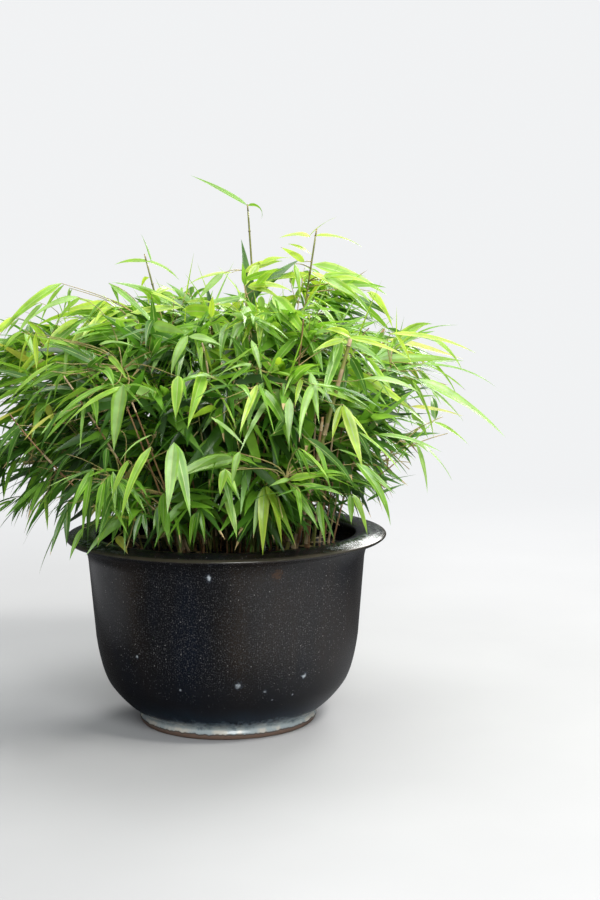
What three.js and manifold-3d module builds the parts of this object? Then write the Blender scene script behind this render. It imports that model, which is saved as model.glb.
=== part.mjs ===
// A clump of bamboo in a glazed stoneware bowl: thin canes that rise from the soil and arch outwards, each
// ending in a mass of twigs with fans of long, pointed leaves, and a few taller shoots above them.
// Millimetres, +Z up. The origin is on the ground, under the middle of the pot.
import * as THREE from "three";
import { mergeVertices } from "three/addons/utils/BufferGeometryUtils.js";
import Module from "manifold-3d";

const wasm = await Module();
wasm.setup();

// The pot, from the ground up.
const POT_HEIGHT = 243;
const FOOT_RADIUS = 111;
const FOOT_HEIGHT = 13;
const FOOT_NOTCH = 2; // how far the glaze line above the foot is drawn in
const HIP_RADIUS = 147; // where the underside of the belly turns upwards
const HIP_HEIGHT = 50;
const BELLY_RADIUS = 164;
const BELLY_HEIGHT = 110;
const NECK_RADIUS = 172;
const NECK_HEIGHT = 207;
const RIM_RADIUS = 200;
const LIP_THICKNESS = 7;
const LIP_FALL = 5; // how much lower the rim's outer edge is than its crest
const WALL = 13;
const FLOOR_THICKNESS = 16;
const POT_SIDES = 36;
const POT_STEPS = 3;

// The soil fills the pot to below the rim. Its middle is level, and it falls a little towards the wall.
const SOIL_HEIGHT = 215;
const SOIL_FALL = 3;
const SOIL_LEVEL_RADIUS = 128;
const SOIL_SIDES = 24;

const GAP = 0.3; // between pieces that touch
const CLEARANCE = 1.2; // between a leaf or twig and anything that isn't its own mass
const SMALLEST_DETAIL = 0.1; // slivers narrower than this are merged away where leaves meet

// The canes.
const CANE_FOOT = 2.8; // radius in the soil
const CANE_TIP = 1.9; // radius where a mass of leaves begins
const CANE_SIDES = 5;
const CANE_STEPS = 5;

// Twigs and leaves. Radii are those of a three-sided twig's corners.
const STEM_STEPS = 3;
const STEM_SIDES = 4;
const TWIG_TURN = 137.5; // degrees round the stem from each twig to the next
const TWIG_SIDES = 3;
const TWIG_ROOT = 1.8;
const TWIG_TIP = 1.4;
const TWIG_LENGTH = [22, 54];
const TWIG_OPEN = [34, 84]; // degrees between a twig and its stem
const TWIG_DROOP = 0.25;
const TWIG_TRIES = 32;
const LEAVES_PER_TWIG = 4;
const FEWEST_LEAVES = 3; // a twig with room for fewer isn't grown
const LEAF_SPACING = 8; // between the roots of neighbouring leaves, along the twig
const LEAF_OPEN = [30, 56]; // degrees between a side leaf and its twig, least next to the twig's end
const LEAF_TILT = [-0.45, 0.4]; // how far it sets off below or above its twig's level
const LEAF_DROOP = [0.25, 0.75];
const LEAF_ROLL = 34; // degrees either way
const LEAF_LENGTH = 98;
const LEAF_WIDTH = 22;
const LEAF_KEEL = 1.9; // depth of the leaf's fold along its middle
const LEAF_BEND_AT = 0.42; // where along the leaf it's widest and bends
const LEAF_SIZES = [1, 1, 1, 0.86, 0.86, 0.72]; // the sizes that are tried in turn, each with a new tilt
const LEAF_APART = 9; // between the middles of neighbouring leaves and twigs, away from their roots
const PETIOLE = 0.55; // half the width of the leaf's stalk
const SPINE_STEPS = 9;
const PROBES = 12; // points tested along each edge of a leaf or twig

// The outline of the whole crown: a broad, flattened dome and a higher part right of its middle.
const DOME = {
  centre: new THREE.Vector3(-10, 0, 357), radius: 334, above: 192, below: 156, squareness: 2.6,
};
const PEAK = {
  centre: new THREE.Vector3(60, 0, 437), radius: 175, above: 158, below: 90, squareness: 2,
};

// The crown's underside. Over the soil it keeps that far above it. From the pot's mouth outwards it rises
// from the rim's crest by slope. Beyond the rim it also rises by lift on the right, and drops by fall on the
// left.
const UNDERSIDE = { soil: 12, slope: 0.2, lift: 0.9, fall: 42, fallWithin: 20 };

// Rings of canes, from the outside in. foot and tip are distances from the pot's axis, and height is the
// tip's. rise is the angle above the level at which a cane ends, middle is its mass's distance and height,
// stem is the length of the stem in it, and twigs is how many may grow on that.
const RINGS = [
  {
    name: "skirt", count: 8, turn: 10, foot: 114, tip: 162, height: 319, rise: 14,
    middle: [248, 299], stem: 84, twigs: 6,
  },
  {
    name: "shoulder", count: 7, turn: 25, foot: 84, tip: 138, height: 407, rise: 32,
    middle: [208, 445], stem: 84, twigs: 6,
  },
  {
    name: "inner", count: 3, turn: 66, foot: 50, tip: 72, height: 321, rise: 52,
    middle: [92, 352], stem: 56, twigs: 4,
  },
  {
    name: "top", count: 4, turn: 18, foot: 36, tip: 62, height: 437, rise: 56,
    middle: [92, 507], stem: 66, twigs: 6,
  },
];

// Thin shoots that stand up out of the crown: where each leaves the soil, the point it reaches, and how far
// its middle bows out to the right.
const SHOOTS = [
  { foot: [46, 40], tip: [31, 0, 633], bow: 6 },
  { foot: [62, -20], tip: [112, -30, 603], bow: -6 },
  { foot: [10, 40], tip: [-96, 44, 573], bow: -10 },
];
const SHOOT_FOOT = 2.3;
const SHOOT_TIP = 1;

// The leaves at the tip of the tallest shoot: which way each one goes, and its length and width.
const SHOOT_LEAVES = [
  { along: [-0.8, 0.1, 0.6], tipAlong: [-0.92, 0, 0.4], length: 84, width: 10 },
  { along: [0.8, -0.2, 0.55], tipAlong: [0.6, -0.3, -0.75], length: 30, width: 7 },
];
const SHOOT_STEM = 9;

const UP = new THREE.Vector3(0, 0, 1);

// A repeatable source of random numbers from 0 to 1, from a seed.
function randomFrom(seed) {
  let state = seed >>> 0;
  return () => {
    state = (state + 0x6d2b79f5) >>> 0;
    let t = state;
    t = Math.imul(t ^ (t >>> 15), t | 1);
    t ^= t + Math.imul(t ^ (t >>> 7), t | 61);
    return ((t ^ (t >>> 14)) >>> 0) / 4294967296;
  };
}

function between(random, [least, most]) {
  return least + (most - least) * random();
}

function radians(degrees) {
  return THREE.MathUtils.degToRad(degrees);
}

// A point at a distance from the pot's axis, on the ray at that compass angle.
function around(turn, radius, height) {
  return new THREE.Vector3(radius * Math.cos(turn), radius * Math.sin(turn), height);
}

function add(group, name, geometry, material) {
  geometry.computeVertexNormals();
  const mesh = new THREE.Mesh(geometry, material);
  mesh.name = name;
  group.add(mesh);
}

// A closed solid of revolution round the pot's axis, from an outline that starts and ends on it.
function turned(path, steps, sides) {
  return new THREE.LatheGeometry(path.getPoints(steps), sides).rotateX(Math.PI / 2);
}

// The pot: a raised foot, a round belly, a neck that widens a little, and a broad rim that stands out.
function pot() {
  const notch = FOOT_RADIUS - FOOT_NOTCH;
  const edge = POT_HEIGHT - LIP_FALL;
  const under = edge - LIP_THICKNESS;
  const inside = NECK_RADIUS - WALL;
  const path = new THREE.Path();
  path.moveTo(0, 0);
  path.lineTo(FOOT_RADIUS - 2, 0);
  path.quadraticCurveTo(FOOT_RADIUS + 2, FOOT_HEIGHT / 2, notch, FOOT_HEIGHT);
  path.quadraticCurveTo(HIP_RADIUS - 16, FOOT_HEIGHT + 14, HIP_RADIUS, HIP_HEIGHT);
  path.quadraticCurveTo(BELLY_RADIUS - 6, HIP_HEIGHT + 16, BELLY_RADIUS, BELLY_HEIGHT);
  path.lineTo(NECK_RADIUS, NECK_HEIGHT);
  path.quadraticCurveTo(NECK_RADIUS + 3, under, RIM_RADIUS - 4, under);
  path.quadraticCurveTo(RIM_RADIUS + 4, under + 4, RIM_RADIUS - 7, edge);
  path.quadraticCurveTo(NECK_RADIUS + 4, POT_HEIGHT + 2, inside + 3, POT_HEIGHT - 5);
  path.quadraticCurveTo(inside, POT_HEIGHT - 10, inside, NECK_HEIGHT);
  path.lineTo(BELLY_RADIUS - WALL, BELLY_HEIGHT);
  path.lineTo(HIP_RADIUS - WALL, HIP_HEIGHT + WALL);
  path.lineTo(FOOT_RADIUS, FLOOR_THICKNESS + WALL / 2);
  path.lineTo(FOOT_RADIUS - WALL, FLOOR_THICKNESS);
  path.lineTo(0, FLOOR_THICKNESS);
  return turned(path, POT_STEPS, POT_SIDES);
}

function soil() {
  const inset = WALL + 3 * GAP;
  const bottom = FLOOR_THICKNESS + GAP;
  const path = new THREE.Path();
  path.moveTo(0, bottom);
  path.lineTo(FOOT_RADIUS - WALL, bottom);
  path.lineTo(FOOT_RADIUS - 3 * GAP, bottom + WALL / 2);
  path.lineTo(HIP_RADIUS - inset, HIP_HEIGHT + WALL);
  path.lineTo(BELLY_RADIUS - inset, BELLY_HEIGHT);
  path.lineTo(NECK_RADIUS - inset, NECK_HEIGHT);
  path.lineTo(NECK_RADIUS - inset, SOIL_HEIGHT - SOIL_FALL);
  path.lineTo(SOIL_LEVEL_RADIUS, SOIL_HEIGHT);
  path.lineTo(0, SOIL_HEIGHT);
  return turned(path, POT_STEPS, SOIL_SIDES);
}

function solidGeometry(vertices, faces) {
  const geometry = new THREE.BufferGeometry().setFromPoints(vertices);
  return geometry.setIndex(faces);
}

// The way a line goes at each of its points: given at both ends, and between its neighbours elsewhere.
function waysAlong(points, firstWay, lastWay) {
  return points.map((_, i) => {
    if (i === 0) return firstWay;
    if (i === points.length - 1) return lastWay;
    return points[i + 1].clone().sub(points[i - 1]).normalize();
  });
}

// A closed tapering tube through these points, with flat ends square to its first and last ways.
function limb(points, radii, sides, firstWay, lastWay) {
  const ways = waysAlong(points, firstWay, lastWay);
  const side = acrossFrom(ways[0], 0);
  const vertices = [];
  points.forEach((point, i) => {
    side.addScaledVector(ways[i], -side.dot(ways[i])).normalize();
    const other = new THREE.Vector3().crossVectors(ways[i], side);
    for (let k = 0; k < sides; k++) {
      const angle = (2 * Math.PI * k) / sides;
      const corner = point.clone().addScaledVector(side, radii[i] * Math.cos(angle));
      vertices.push(corner.addScaledVector(other, radii[i] * Math.sin(angle)));
    }
  });
  return solidGeometry(vertices, tubeFaces(points.length - 1, sides));
}

function tubeFaces(last, sides) {
  const faces = [];
  for (let i = 0; i < last; i++) {
    for (let k = 0; k < sides; k++) {
      const a = i * sides + k;
      const b = i * sides + ((k + 1) % sides);
      faces.push(a, b, b + sides, a, b + sides, a + sides);
    }
  }
  for (let k = 1; k < sides - 1; k++) {
    faces.push(0, k + 1, k);
    faces.push(last * sides, last * sides + k, last * sides + k + 1);
  }
  return faces;
}

// A level direction square to a way, or square to the ray at the turn where the way is nearly upright.
function acrossFrom(way, turn) {
  const across = new THREE.Vector3().crossVectors(way, UP);
  if (across.length() < 0.2) across.crossVectors(way, around(turn, 1, 0));
  return across.normalize();
}

// A leaf: a short stalk, a blade folded along its middle that bends at its widest, and a long point.
function leaf({ root, along, side, tipAlong, length, width }) {
  const upper = new THREE.Vector3().crossVectors(side, along).normalize();
  const middle = root.clone().addScaledVector(along, length * LEAF_BEND_AT);
  const tip = middle.clone().addScaledVector(tipAlong, length * (1 - LEAF_BEND_AT));
  const section = (centre, half, lift, keel) => [
    centre.clone().addScaledVector(side, half).addScaledVector(upper, lift),
    centre.clone().addScaledVector(side, -half).addScaledVector(upper, lift),
    centre.clone().addScaledVector(upper, lift - keel),
  ];
  const vertices = [
    ...section(root, PETIOLE, PETIOLE * 0.6, PETIOLE * 1.6),
    ...section(middle, width / 2, LEAF_KEEL / 2, LEAF_KEEL),
    tip,
  ];
  const faces = [0, 1, 2];
  for (let k = 0; k < 3; k++) {
    const next = (k + 1) % 3;
    faces.push(k, k + 3, next + 3, k, next + 3, next);
    faces.push(k + 3, 6, next + 3);
  }
  const [left, right, keel] = vertices.slice(3, 6);
  const corners = [left, right, keel, left.clone().lerp(keel, 0.5), right.clone().lerp(keel, 0.5), tip];
  return { geometry: solidGeometry(vertices, faces), corners, spine: spine([root, middle, tip]) };
}

// One solid from pieces that overlap. Its largest shell alone is kept, so that loose scraps are dropped and
// sealed hollows filled.
function fuse(geometries) {
  const joined = wasm.Manifold.union(geometries.map(toSolid));
  const shells = joined.decompose().sort((a, b) => b.volume() - a.volume());
  return fromSolid(shells[0].asOriginal().simplify(SMALLEST_DETAIL));
}

function toSolid(geometry) {
  const merged = mergeVertices(geometry, 1e-4);
  const mesh = new wasm.Mesh({
    numProp: 3,
    vertProperties: merged.attributes.position.array,
    triVerts: new Uint32Array(merged.index.array),
  });
  return new wasm.Manifold(mesh);
}

function fromSolid(solid) {
  const mesh = solid.getMesh();
  const geometry = new THREE.BufferGeometry();
  geometry.setAttribute("position", new THREE.BufferAttribute(mesh.vertProperties, mesh.numProp));
  return geometry.setIndex(new THREE.BufferAttribute(mesh.triVerts, 1));
}

// A cane's line, from its foot in the soil to its tip: upright first, then arching outwards.
function caneLine(ring, index) {
  const even = radians(ring.turn) + (2 * Math.PI * index) / ring.count;
  const turn = even + 0.12 * Math.sin(5.1 * index + ring.count);
  const foot = around(turn, ring.foot + 7 * Math.sin(3.7 * index), SOIL_HEIGHT + GAP);
  const height = ring.height + 12 * Math.sin(4.3 * index + 2);
  const tip = around(turn, ring.tip + 9 * Math.sin(2.3 * index + 1), height);
  const rise = radians(ring.rise);
  const end = around(turn, Math.cos(rise), Math.sin(rise));
  const span = foot.distanceTo(tip);
  const lower = foot.clone().addScaledVector(around(turn, 0.2, 1).normalize(), span * 0.45);
  const upper = tip.clone().addScaledVector(end, -span * 0.35);
  return { turn, end, curve: new THREE.CubicBezierCurve3(foot, lower, upper, tip) };
}

// A tall shoot's line: nearly straight, bowed a little to one side.
function shootLine(shoot) {
  const foot = new THREE.Vector3(...shoot.foot, SOIL_HEIGHT + GAP);
  const tip = new THREE.Vector3(...shoot.tip);
  const middle = foot.clone().lerp(tip, 0.5);
  middle.x += shoot.bow;
  const curve = new THREE.QuadraticBezierCurve3(foot, middle, tip);
  return { turn: Math.atan2(tip.y, tip.x), end: curve.getTangent(1), curve };
}

function cane(line, footRadius, tipRadius) {
  const points = line.curve.getPoints(CANE_STEPS);
  const radii = points.map((_, i) => THREE.MathUtils.lerp(footRadius, tipRadius, i / CANE_STEPS));
  return limb(points, radii, CANE_SIDES, UP, line.end);
}

// A mass keeps to the points that are nearer to its own middle than to any other mass's.
function insideCell(point, space) {
  const own = point.distanceToSquared(space.middle);
  return space.others.every((other) => {
    const margin = 2 * CLEARANCE * space.middle.distanceTo(other);
    return point.distanceToSquared(other) - own > margin;
  });
}

function insideDome(point, dome) {
  const across = Math.hypot(point.x - dome.centre.x, point.y - dome.centre.y) / dome.radius;
  const rise = point.z - dome.centre.z;
  const high = rise > 0 ? rise / dome.above : -rise / dome.below;
  return across ** dome.squareness + high ** dome.squareness < 1;
}

function insideCrown(point) {
  return insideDome(point, DOME) || insideDome(point, PEAK);
}

// The lowest that the crown reaches at a place.
function underside(point) {
  const radius = Math.hypot(point.x, point.y);
  const mouth = NECK_RADIUS - WALL;
  if (radius < mouth) return SOIL_HEIGHT + UNDERSIDE.soil;
  const right = point.x / radius;
  const beyond = Math.max(radius - RIM_RADIUS, 0);
  const lift = UNDERSIDE.lift * Math.max(right, 0) * beyond;
  const fall = UNDERSIDE.fall * Math.max(-right, 0) * Math.min(beyond / UNDERSIDE.fallWithin, 1);
  return POT_HEIGHT + UNDERSIDE.slope * (radius - mouth) + lift - fall;
}

// Above the crown's underside, and clear of the pot's rim and wall.
function clearOfPot(point) {
  if (point.z < underside(point)) return false;
  const radius = Math.hypot(point.x, point.y);
  if (point.z > POT_HEIGHT + 2 * CLEARANCE) return true;
  if (radius > RIM_RADIUS + 3 * CLEARANCE) return true;
  return radius < NECK_RADIUS - WALL - 3 * CLEARANCE;
}

const segment = new THREE.Line3();
const nearest = new THREE.Vector3();

function clearOfLimbs(point, limbs) {
  return limbs.every((points) =>
    points.slice(1).every((end, i) => {
      segment.set(points[i], end).closestPointToPoint(point, true, nearest);
      return nearest.distanceTo(point) > CANE_FOOT + CLEARANCE;
    }),
  );
}

function inOwnSpace(point, space) {
  if (!insideCell(point, space) || !insideCrown(point)) return false;
  return clearOfPot(point) && clearOfLimbs(point, space.limbs);
}

// Whether a leaf or twig has room: whether points spread over it, from its root to its corners and from
// those to its tip, lie in the mass's own space.
function hasRoom(root, corners, space) {
  const tip = corners[corners.length - 1];
  const lines = corners.flatMap((corner) => [new THREE.Line3(root, corner), new THREE.Line3(corner, tip)]);
  const steps = Array.from({ length: PROBES }, (_, i) => (i + 1) / PROBES);
  return lines.every((line) => steps.every((t) => inOwnSpace(line.at(t, new THREE.Vector3()), space)));
}

// Turns a direction towards the ground, as its own weight bends a twig or leaf.
function drooped(way, amount) {
  return way.clone().addScaledVector(UP, -amount).normalize();
}

// Points along the middle of a leaf or twig, without the part next to its root.
function spine(points) {
  const path = new THREE.CurvePath();
  points.slice(1).forEach((point, i) => path.add(new THREE.LineCurve3(points[i], point)));
  return Array.from({ length: SPINE_STEPS }, (_, i) => path.getPointAt((i + 3) / (SPINE_STEPS + 2)));
}

// Whether a spine keeps away from those of the leaves and twigs that have grown before it.
function isApart(points, grown) {
  return points.every((point) => grown.every((other) => point.distanceTo(other) > LEAF_APART));
}

// One leaf of a fan, open degrees to the side of its twig, at the first tilt and size that has room.
function leafOfFan(root, way, open, space, random) {
  for (const size of LEAF_SIZES) {
    const along = way.clone().applyAxisAngle(UP, radians(open));
    along.addScaledVector(UP, between(random, LEAF_TILT)).normalize();
    const tipAlong = drooped(along, between(random, LEAF_DROOP));
    const roll = between(random, [-LEAF_ROLL, LEAF_ROLL]);
    const side = acrossFrom(along, space.turn).applyAxisAngle(along, radians(roll));
    const length = LEAF_LENGTH * size * between(random, [0.9, 1.1]);
    const blade = leaf({ root, along, side, tipAlong, length, width: LEAF_WIDTH * size });
    if (isApart(blade.spine, space.grown) && hasRoom(root, blade.corners, space)) {
      space.grown.push(...blade.spine);
      return [blade.geometry];
    }
  }
  return [];
}

// A fan of leaves at the end of a twig: by turns to its left and right, and the last one straight on.
function fan(end, way, space, random) {
  return Array.from({ length: LEAVES_PER_TWIG }, (_, k) => {
    const back = LEAVES_PER_TWIG - 1 - k;
    const spread = THREE.MathUtils.lerp(...LEAF_OPEN, (back - 1) / (LEAVES_PER_TWIG - 2));
    const opened = spread + between(random, [-5, 5]);
    const open = back === 0 ? between(random, [-9, 9]) : opened * (k % 2 ? -1 : 1);
    const root = end.clone().addScaledVector(way, -LEAF_SPACING * back - GAP);
    return leafOfFan(root, way, open, space, random);
  }).flat();
}

// A twig that bends down a little at its middle and ends in a fan, or nothing where it has no room.
function twig(from, way, length, space, random) {
  const endWay = drooped(way, TWIG_DROOP);
  const middle = from.clone().addScaledVector(way, length / 2);
  const end = middle.clone().addScaledVector(endWay, length / 2);
  const own = spine([from, middle, end]);
  if (!isApart(own, space.grown) || !hasRoom(from, [middle, end], space)) return [];
  const before = space.grown.length;
  const leaves = fan(end, endWay, space, random);
  if (leaves.length < FEWEST_LEAVES) {
    space.grown.length = before;
    return [];
  }
  space.grown.push(...own);
  const radii = [TWIG_ROOT, (TWIG_ROOT + TWIG_TIP) / 2, TWIG_TIP];
  return [limb([from, middle, end], radii, TWIG_SIDES, way, endWay), ...leaves];
}

// The twig with this number along a stem, in the first of several directions that has room.
function twigOnStem(stem, number, space, random) {
  const along = (number + 1) / (space.twigs + 0.5);
  const joint = stem.getPoint(along);
  const way = stem.getTangent(along);
  for (let attempt = 0; attempt < TWIG_TRIES; attempt++) {
    const roll = TWIG_TURN * number + between(random, [-40, 40]);
    const open = between(random, TWIG_OPEN);
    const start = way.clone().applyAxisAngle(acrossFrom(way, space.turn), radians(open));
    start.applyAxisAngle(way, radians(roll));
    const grown = twig(joint, start, between(random, TWIG_LENGTH), space, random);
    if (grown.length) return grown;
  }
  return [];
}

// The line of the stem that goes on from the tip of a cane, and droops a little.
function stemLine(line, length) {
  const start = line.curve.getPoint(1).addScaledVector(line.end, GAP);
  const middle = start.clone().addScaledVector(line.end, length / 2);
  const end = middle.clone().addScaledVector(drooped(line.end, TWIG_DROOP), length / 2);
  return new THREE.QuadraticBezierCurve3(start, middle, end);
}

// A mass: a stem that goes on from the tip of its cane, twigs all round it, and a fan of leaves at its end.
function mass(line, stem, space, seed) {
  const random = randomFrom(seed);
  const points = stem.getPoints(STEM_STEPS);
  const radii = points.map((_, i) => THREE.MathUtils.lerp(CANE_TIP, TWIG_ROOT, i / STEM_STEPS));
  const numbers = Array.from({ length: space.twigs }, (_, number) => number);
  const twigs = numbers.flatMap((number) => twigOnStem(stem, number, space, random));
  const leaves = fan(stem.getPoint(1), stem.getTangent(1), space, random);
  return fuse([limb(points, radii, STEM_SIDES, line.end, stem.getTangent(1)), ...twigs, ...leaves]);
}

// The few leaves at the tip of a shoot, on a short stem that goes on from it.
function shootLeaves(line) {
  const start = line.curve.getPoint(1).addScaledVector(line.end, GAP);
  const end = start.clone().addScaledVector(line.end, SHOOT_STEM);
  const root = end.clone().addScaledVector(line.end, -2);
  const blades = SHOOT_LEAVES.map((one) => {
    const along = new THREE.Vector3(...one.along).normalize();
    const tipAlong = new THREE.Vector3(...one.tipAlong).normalize();
    const side = acrossFrom(along, line.turn);
    return leaf({ root, along, side, tipAlong, length: one.length, width: one.width }).geometry;
  });
  return fuse([limb([start, end], [SHOOT_TIP, SHOOT_TIP], STEM_SIDES, line.end, line.end), ...blades]);
}

const glaze = new THREE.MeshStandardMaterial({ color: 0x1b1c1f, roughness: 0.18, metalness: 0 });
const earth = new THREE.MeshStandardMaterial({ color: 0x2a1e16, roughness: 0.95, metalness: 0 });
const bark = new THREE.MeshStandardMaterial({ color: 0x8a7440, roughness: 0.5, metalness: 0 });
const foliage = new THREE.MeshStandardMaterial({ color: 0x6fae2a, roughness: 0.45, metalness: 0 });

const plant = new THREE.Group();
add(plant, "pot", pot(), glaze);
add(plant, "soil", soil(), earth);

const clumps = RINGS.flatMap((ring, r) =>
  Array.from({ length: ring.count }, (_, index) => {
    const line = caneLine(ring, index);
    return {
      name: `${ring.name}_${index + 1}`,
      line,
      stem: stemLine(line, ring.stem),
      middle: around(line.turn, ...ring.middle),
      twigs: ring.twigs,
      seed: 1000 * (r + 1) + index,
    };
  }),
);
const shoots = SHOOTS.map(shootLine);
const lines = [...clumps.map((clump) => clump.line), ...shoots];
const canes = lines.map((line) => line.curve.getPoints(CANE_STEPS));

for (const clump of clumps) {
  const neighbours = clumps.filter((other) => other !== clump);
  const space = {
    turn: clump.line.turn,
    twigs: clump.twigs,
    middle: clump.middle,
    others: neighbours.map((other) => other.middle),
    limbs: [...canes, ...neighbours.map((other) => other.stem.getPoints(STEM_STEPS))],
    grown: [],
  };
  add(plant, `cane_${clump.name}`, cane(clump.line, CANE_FOOT, CANE_TIP), bark);
  add(plant, `leaves_${clump.name}`, mass(clump.line, clump.stem, space, clump.seed), foliage);
}
shoots.forEach((line, index) => {
  add(plant, `cane_shoot_${index + 1}`, cane(line, SHOOT_FOOT, SHOOT_TIP), bark);
});
add(plant, "leaves_shoot_1", shootLeaves(shoots[0]), foliage);

export default plant;
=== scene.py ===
import itertools
import math
import random

import bpy
import numpy as np
from mathutils import Euler, Matrix, Vector


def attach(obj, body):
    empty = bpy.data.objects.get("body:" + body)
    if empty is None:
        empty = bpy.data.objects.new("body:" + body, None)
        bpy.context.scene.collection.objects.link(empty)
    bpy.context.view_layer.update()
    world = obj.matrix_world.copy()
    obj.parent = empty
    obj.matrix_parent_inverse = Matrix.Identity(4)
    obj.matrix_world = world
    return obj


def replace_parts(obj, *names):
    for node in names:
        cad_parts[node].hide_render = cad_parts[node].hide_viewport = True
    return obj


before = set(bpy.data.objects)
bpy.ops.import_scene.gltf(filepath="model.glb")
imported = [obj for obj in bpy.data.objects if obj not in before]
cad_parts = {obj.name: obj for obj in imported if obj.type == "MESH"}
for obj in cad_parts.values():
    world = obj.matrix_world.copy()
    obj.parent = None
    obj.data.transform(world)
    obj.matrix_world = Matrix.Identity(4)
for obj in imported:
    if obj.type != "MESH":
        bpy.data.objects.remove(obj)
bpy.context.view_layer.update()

# Lengths are in millimetres up to the meshes, which are in metres. +Z is up, and the photo looks along +Y.
MM = 0.001
UP = np.array([0.0, 0.0, 1.0])

# Added to a vector that might be zero before it is made a unit vector.
NUDGE = 1e-3

# The seeds of all that is random. Those of single clumps, side canes and shoots count on from theirs.
SEEDS = {"soil": 7, "canes": 11, "litter": 21, "fans": 77, "side canes": 500, "clumps": 1000, "shoots": 9000}

# The pot, from the ground up, as in the part's source.
POT_HEIGHT = 243
FOOT_RADIUS = 111
FOOT_HEIGHT = 13
FOOT_NOTCH = 2
HIP_RADIUS = 147
HIP_HEIGHT = 50
BELLY_RADIUS = 164
BELLY_HEIGHT = 110
NECK_RADIUS = 172
NECK_HEIGHT = 207
RIM_RADIUS = 200
LIP_THICKNESS = 7
LIP_FALL = 5
WALL = 13
FLOOR_THICKNESS = 16
MOUTH_RADIUS = NECK_RADIUS - WALL
POT_SIDES = 160
POT_STEPS = 10
POT_WOBBLE = 0.0015

# Roughly how far the pot's outside is from its axis, at these heights.
OUTSIDE_HEIGHTS = (FOOT_HEIGHT, 20, 29, 39, HIP_HEIGHT, 73, BELLY_HEIGHT, NECK_HEIGHT, 215)
OUTSIDE_RADII = (109, 119.6, 130, 138.6, HIP_RADIUS, 157, BELLY_RADIUS, NECK_RADIUS, 173.5)

# The soil, as in the source, with a crumbly top. It is level out to a distance, and falls a little from there
# to its edge.
SOIL_HEIGHT = 215
SOIL_FALL = 3
SOIL_LEVEL_TO = 128
SOIL_GAP = 0.9
SOIL_INSET = WALL + SOIL_GAP
SOIL_EDGE = NECK_RADIUS - SOIL_INSET
SOIL_SIDES = 96
SOIL_RINGS = 40
SOIL_RING_POWER = 1.1

# The crumbs on it: how many, the share of its top that they lie on, their sizes, and how far their corners
# are pulled in and out.
CRUMBS = 900
CRUMBS_WITHIN = 0.95
CRUMB_SIZE = (1.2, 3.6)
CRUMB_ROUGHNESS = (0.6, 1.2)

# The waves of the soil's top: the radians to a millimetre of each, its direction, and its size.
SOIL_WAVES = ((0.055, 0.3, 1.6), (0.11, 1.9, 1.1), (0.19, 4.0, 0.8), (0.35, 0.9, 0.6), (0.61, 2.6, 0.4))

# The gap between solids that meet in the source, and the height at which canes stand on the soil.
GAP = 0.3
GROUND = SOIL_HEIGHT + GAP

# The canes, as in the source, with a ring at each node and a papery sheath above some of them.
CANE_RADIUS = (2.8, 1.9)
SHOOT_RADIUS = (2.3, 1)
CANE_WOBBLE = {"turn": 0.12, "foot": 7, "tip": 9, "height": 12}
CANE_LOWER = 0.45
CANE_UPPER = 0.35
STEM_DROOP = 0.25
CANE_SIDES = 10
CANE_STEPS = 40
FIRST_NODE = (10, 30)
NODE_SPACING = (34, 62)
NODE_BULGE = 0.25
SHEATH_SHARE = 0.6
SHEATH_LENGTH = (12, 30)
SHEATH_THICKNESS = 0.22

# How far a node's bulge and its dark band reach, where there are rings of points beside it, and how far under
# a cane's tip there is no node.
NODE_REACH = 0.9
NODE_BAND = 0.7
NODE_EDGES = (-1.6, -0.6, 0.3, 1.4)
NO_NODE_WITHIN = 8

# The crown's outline, as in the source.
DOMES = [
    {"centre": (-10, 0, 357), "radius": 334, "above": 192, "below": 156, "squareness": 2.6},
    {"centre": (60, 0, 437), "radius": 175, "above": 158, "below": 90, "squareness": 2.0},
]
OVERSHOOT = 9

# The height of the crown's middle, from which twigs and leaves turn outwards, and how much they rise in that.
CROWN_HEART = 330
OUTWARD_RISE = 0.9

# The crown's underside, as in the source.
UNDERSIDE = {"soil": 12, "slope": 0.2, "lift": 0.9, "fall": 42, "fall_within": 20}

# How much the underside rises between the hanging sprays, and sinks under them.
UNEVEN = 13

# How far inside the outline a leaf may have to end, on the left and on the right of the crown, and where in X
# the one goes over into the other.
RAGGED = (45, 80)
RAGGED_OVER = (0, 250)

# The heights at which the crown's top and its skirt begin.
LOW_OVER = (515, 285)

# How far out from the middle the leaves begin, as a share of the way to the outline, and how many of those
# further in are left out.
INNER_DEPTH = 0.62
INNER_LEFT_OUT = 0.5

# How many fans are left out at the crown's open right side, and where in X that sets in.
OPEN_SHARE = 0.62
OPEN_OVER = (130, 210)

# The rings of canes: how many, the turn of the first in degrees, how far out their feet and tips are, how
# high the tips are and how many degrees they rise, the stem that goes on from each with its boughs, and in
# how many pieces their leaves are made.
RINGS = [
    {
        "name": "skirt", "count": 8, "turn": 10, "foot": 114, "tip": 162, "height": 319, "rise": 14,
        "stem": 84, "boughs": 6, "pieces": 2,
    },
    {
        "name": "shoulder", "count": 7, "turn": 25, "foot": 84, "tip": 138, "height": 407, "rise": 32,
        "stem": 84, "boughs": 7, "pieces": 2,
    },
    {
        "name": "inner", "count": 3, "turn": 66, "foot": 50, "tip": 72, "height": 321, "rise": 52,
        "stem": 56, "boughs": 5, "pieces": 1,
    },
    {
        "name": "top", "count": 4, "turn": 18, "foot": 36, "tip": 62, "height": 437, "rise": 56,
        "stem": 66, "boughs": 7, "pieces": 1,
    },
]
SHOOTS = [
    {"foot": (46, 40), "tip": (31, 0, 633), "bow": 6},
    {"foot": (62, -20), "tip": (112, -30, 603), "bow": -6},
    {"foot": (10, 40), "tip": (-96, 44, 573), "bow": -10},
]

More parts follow.
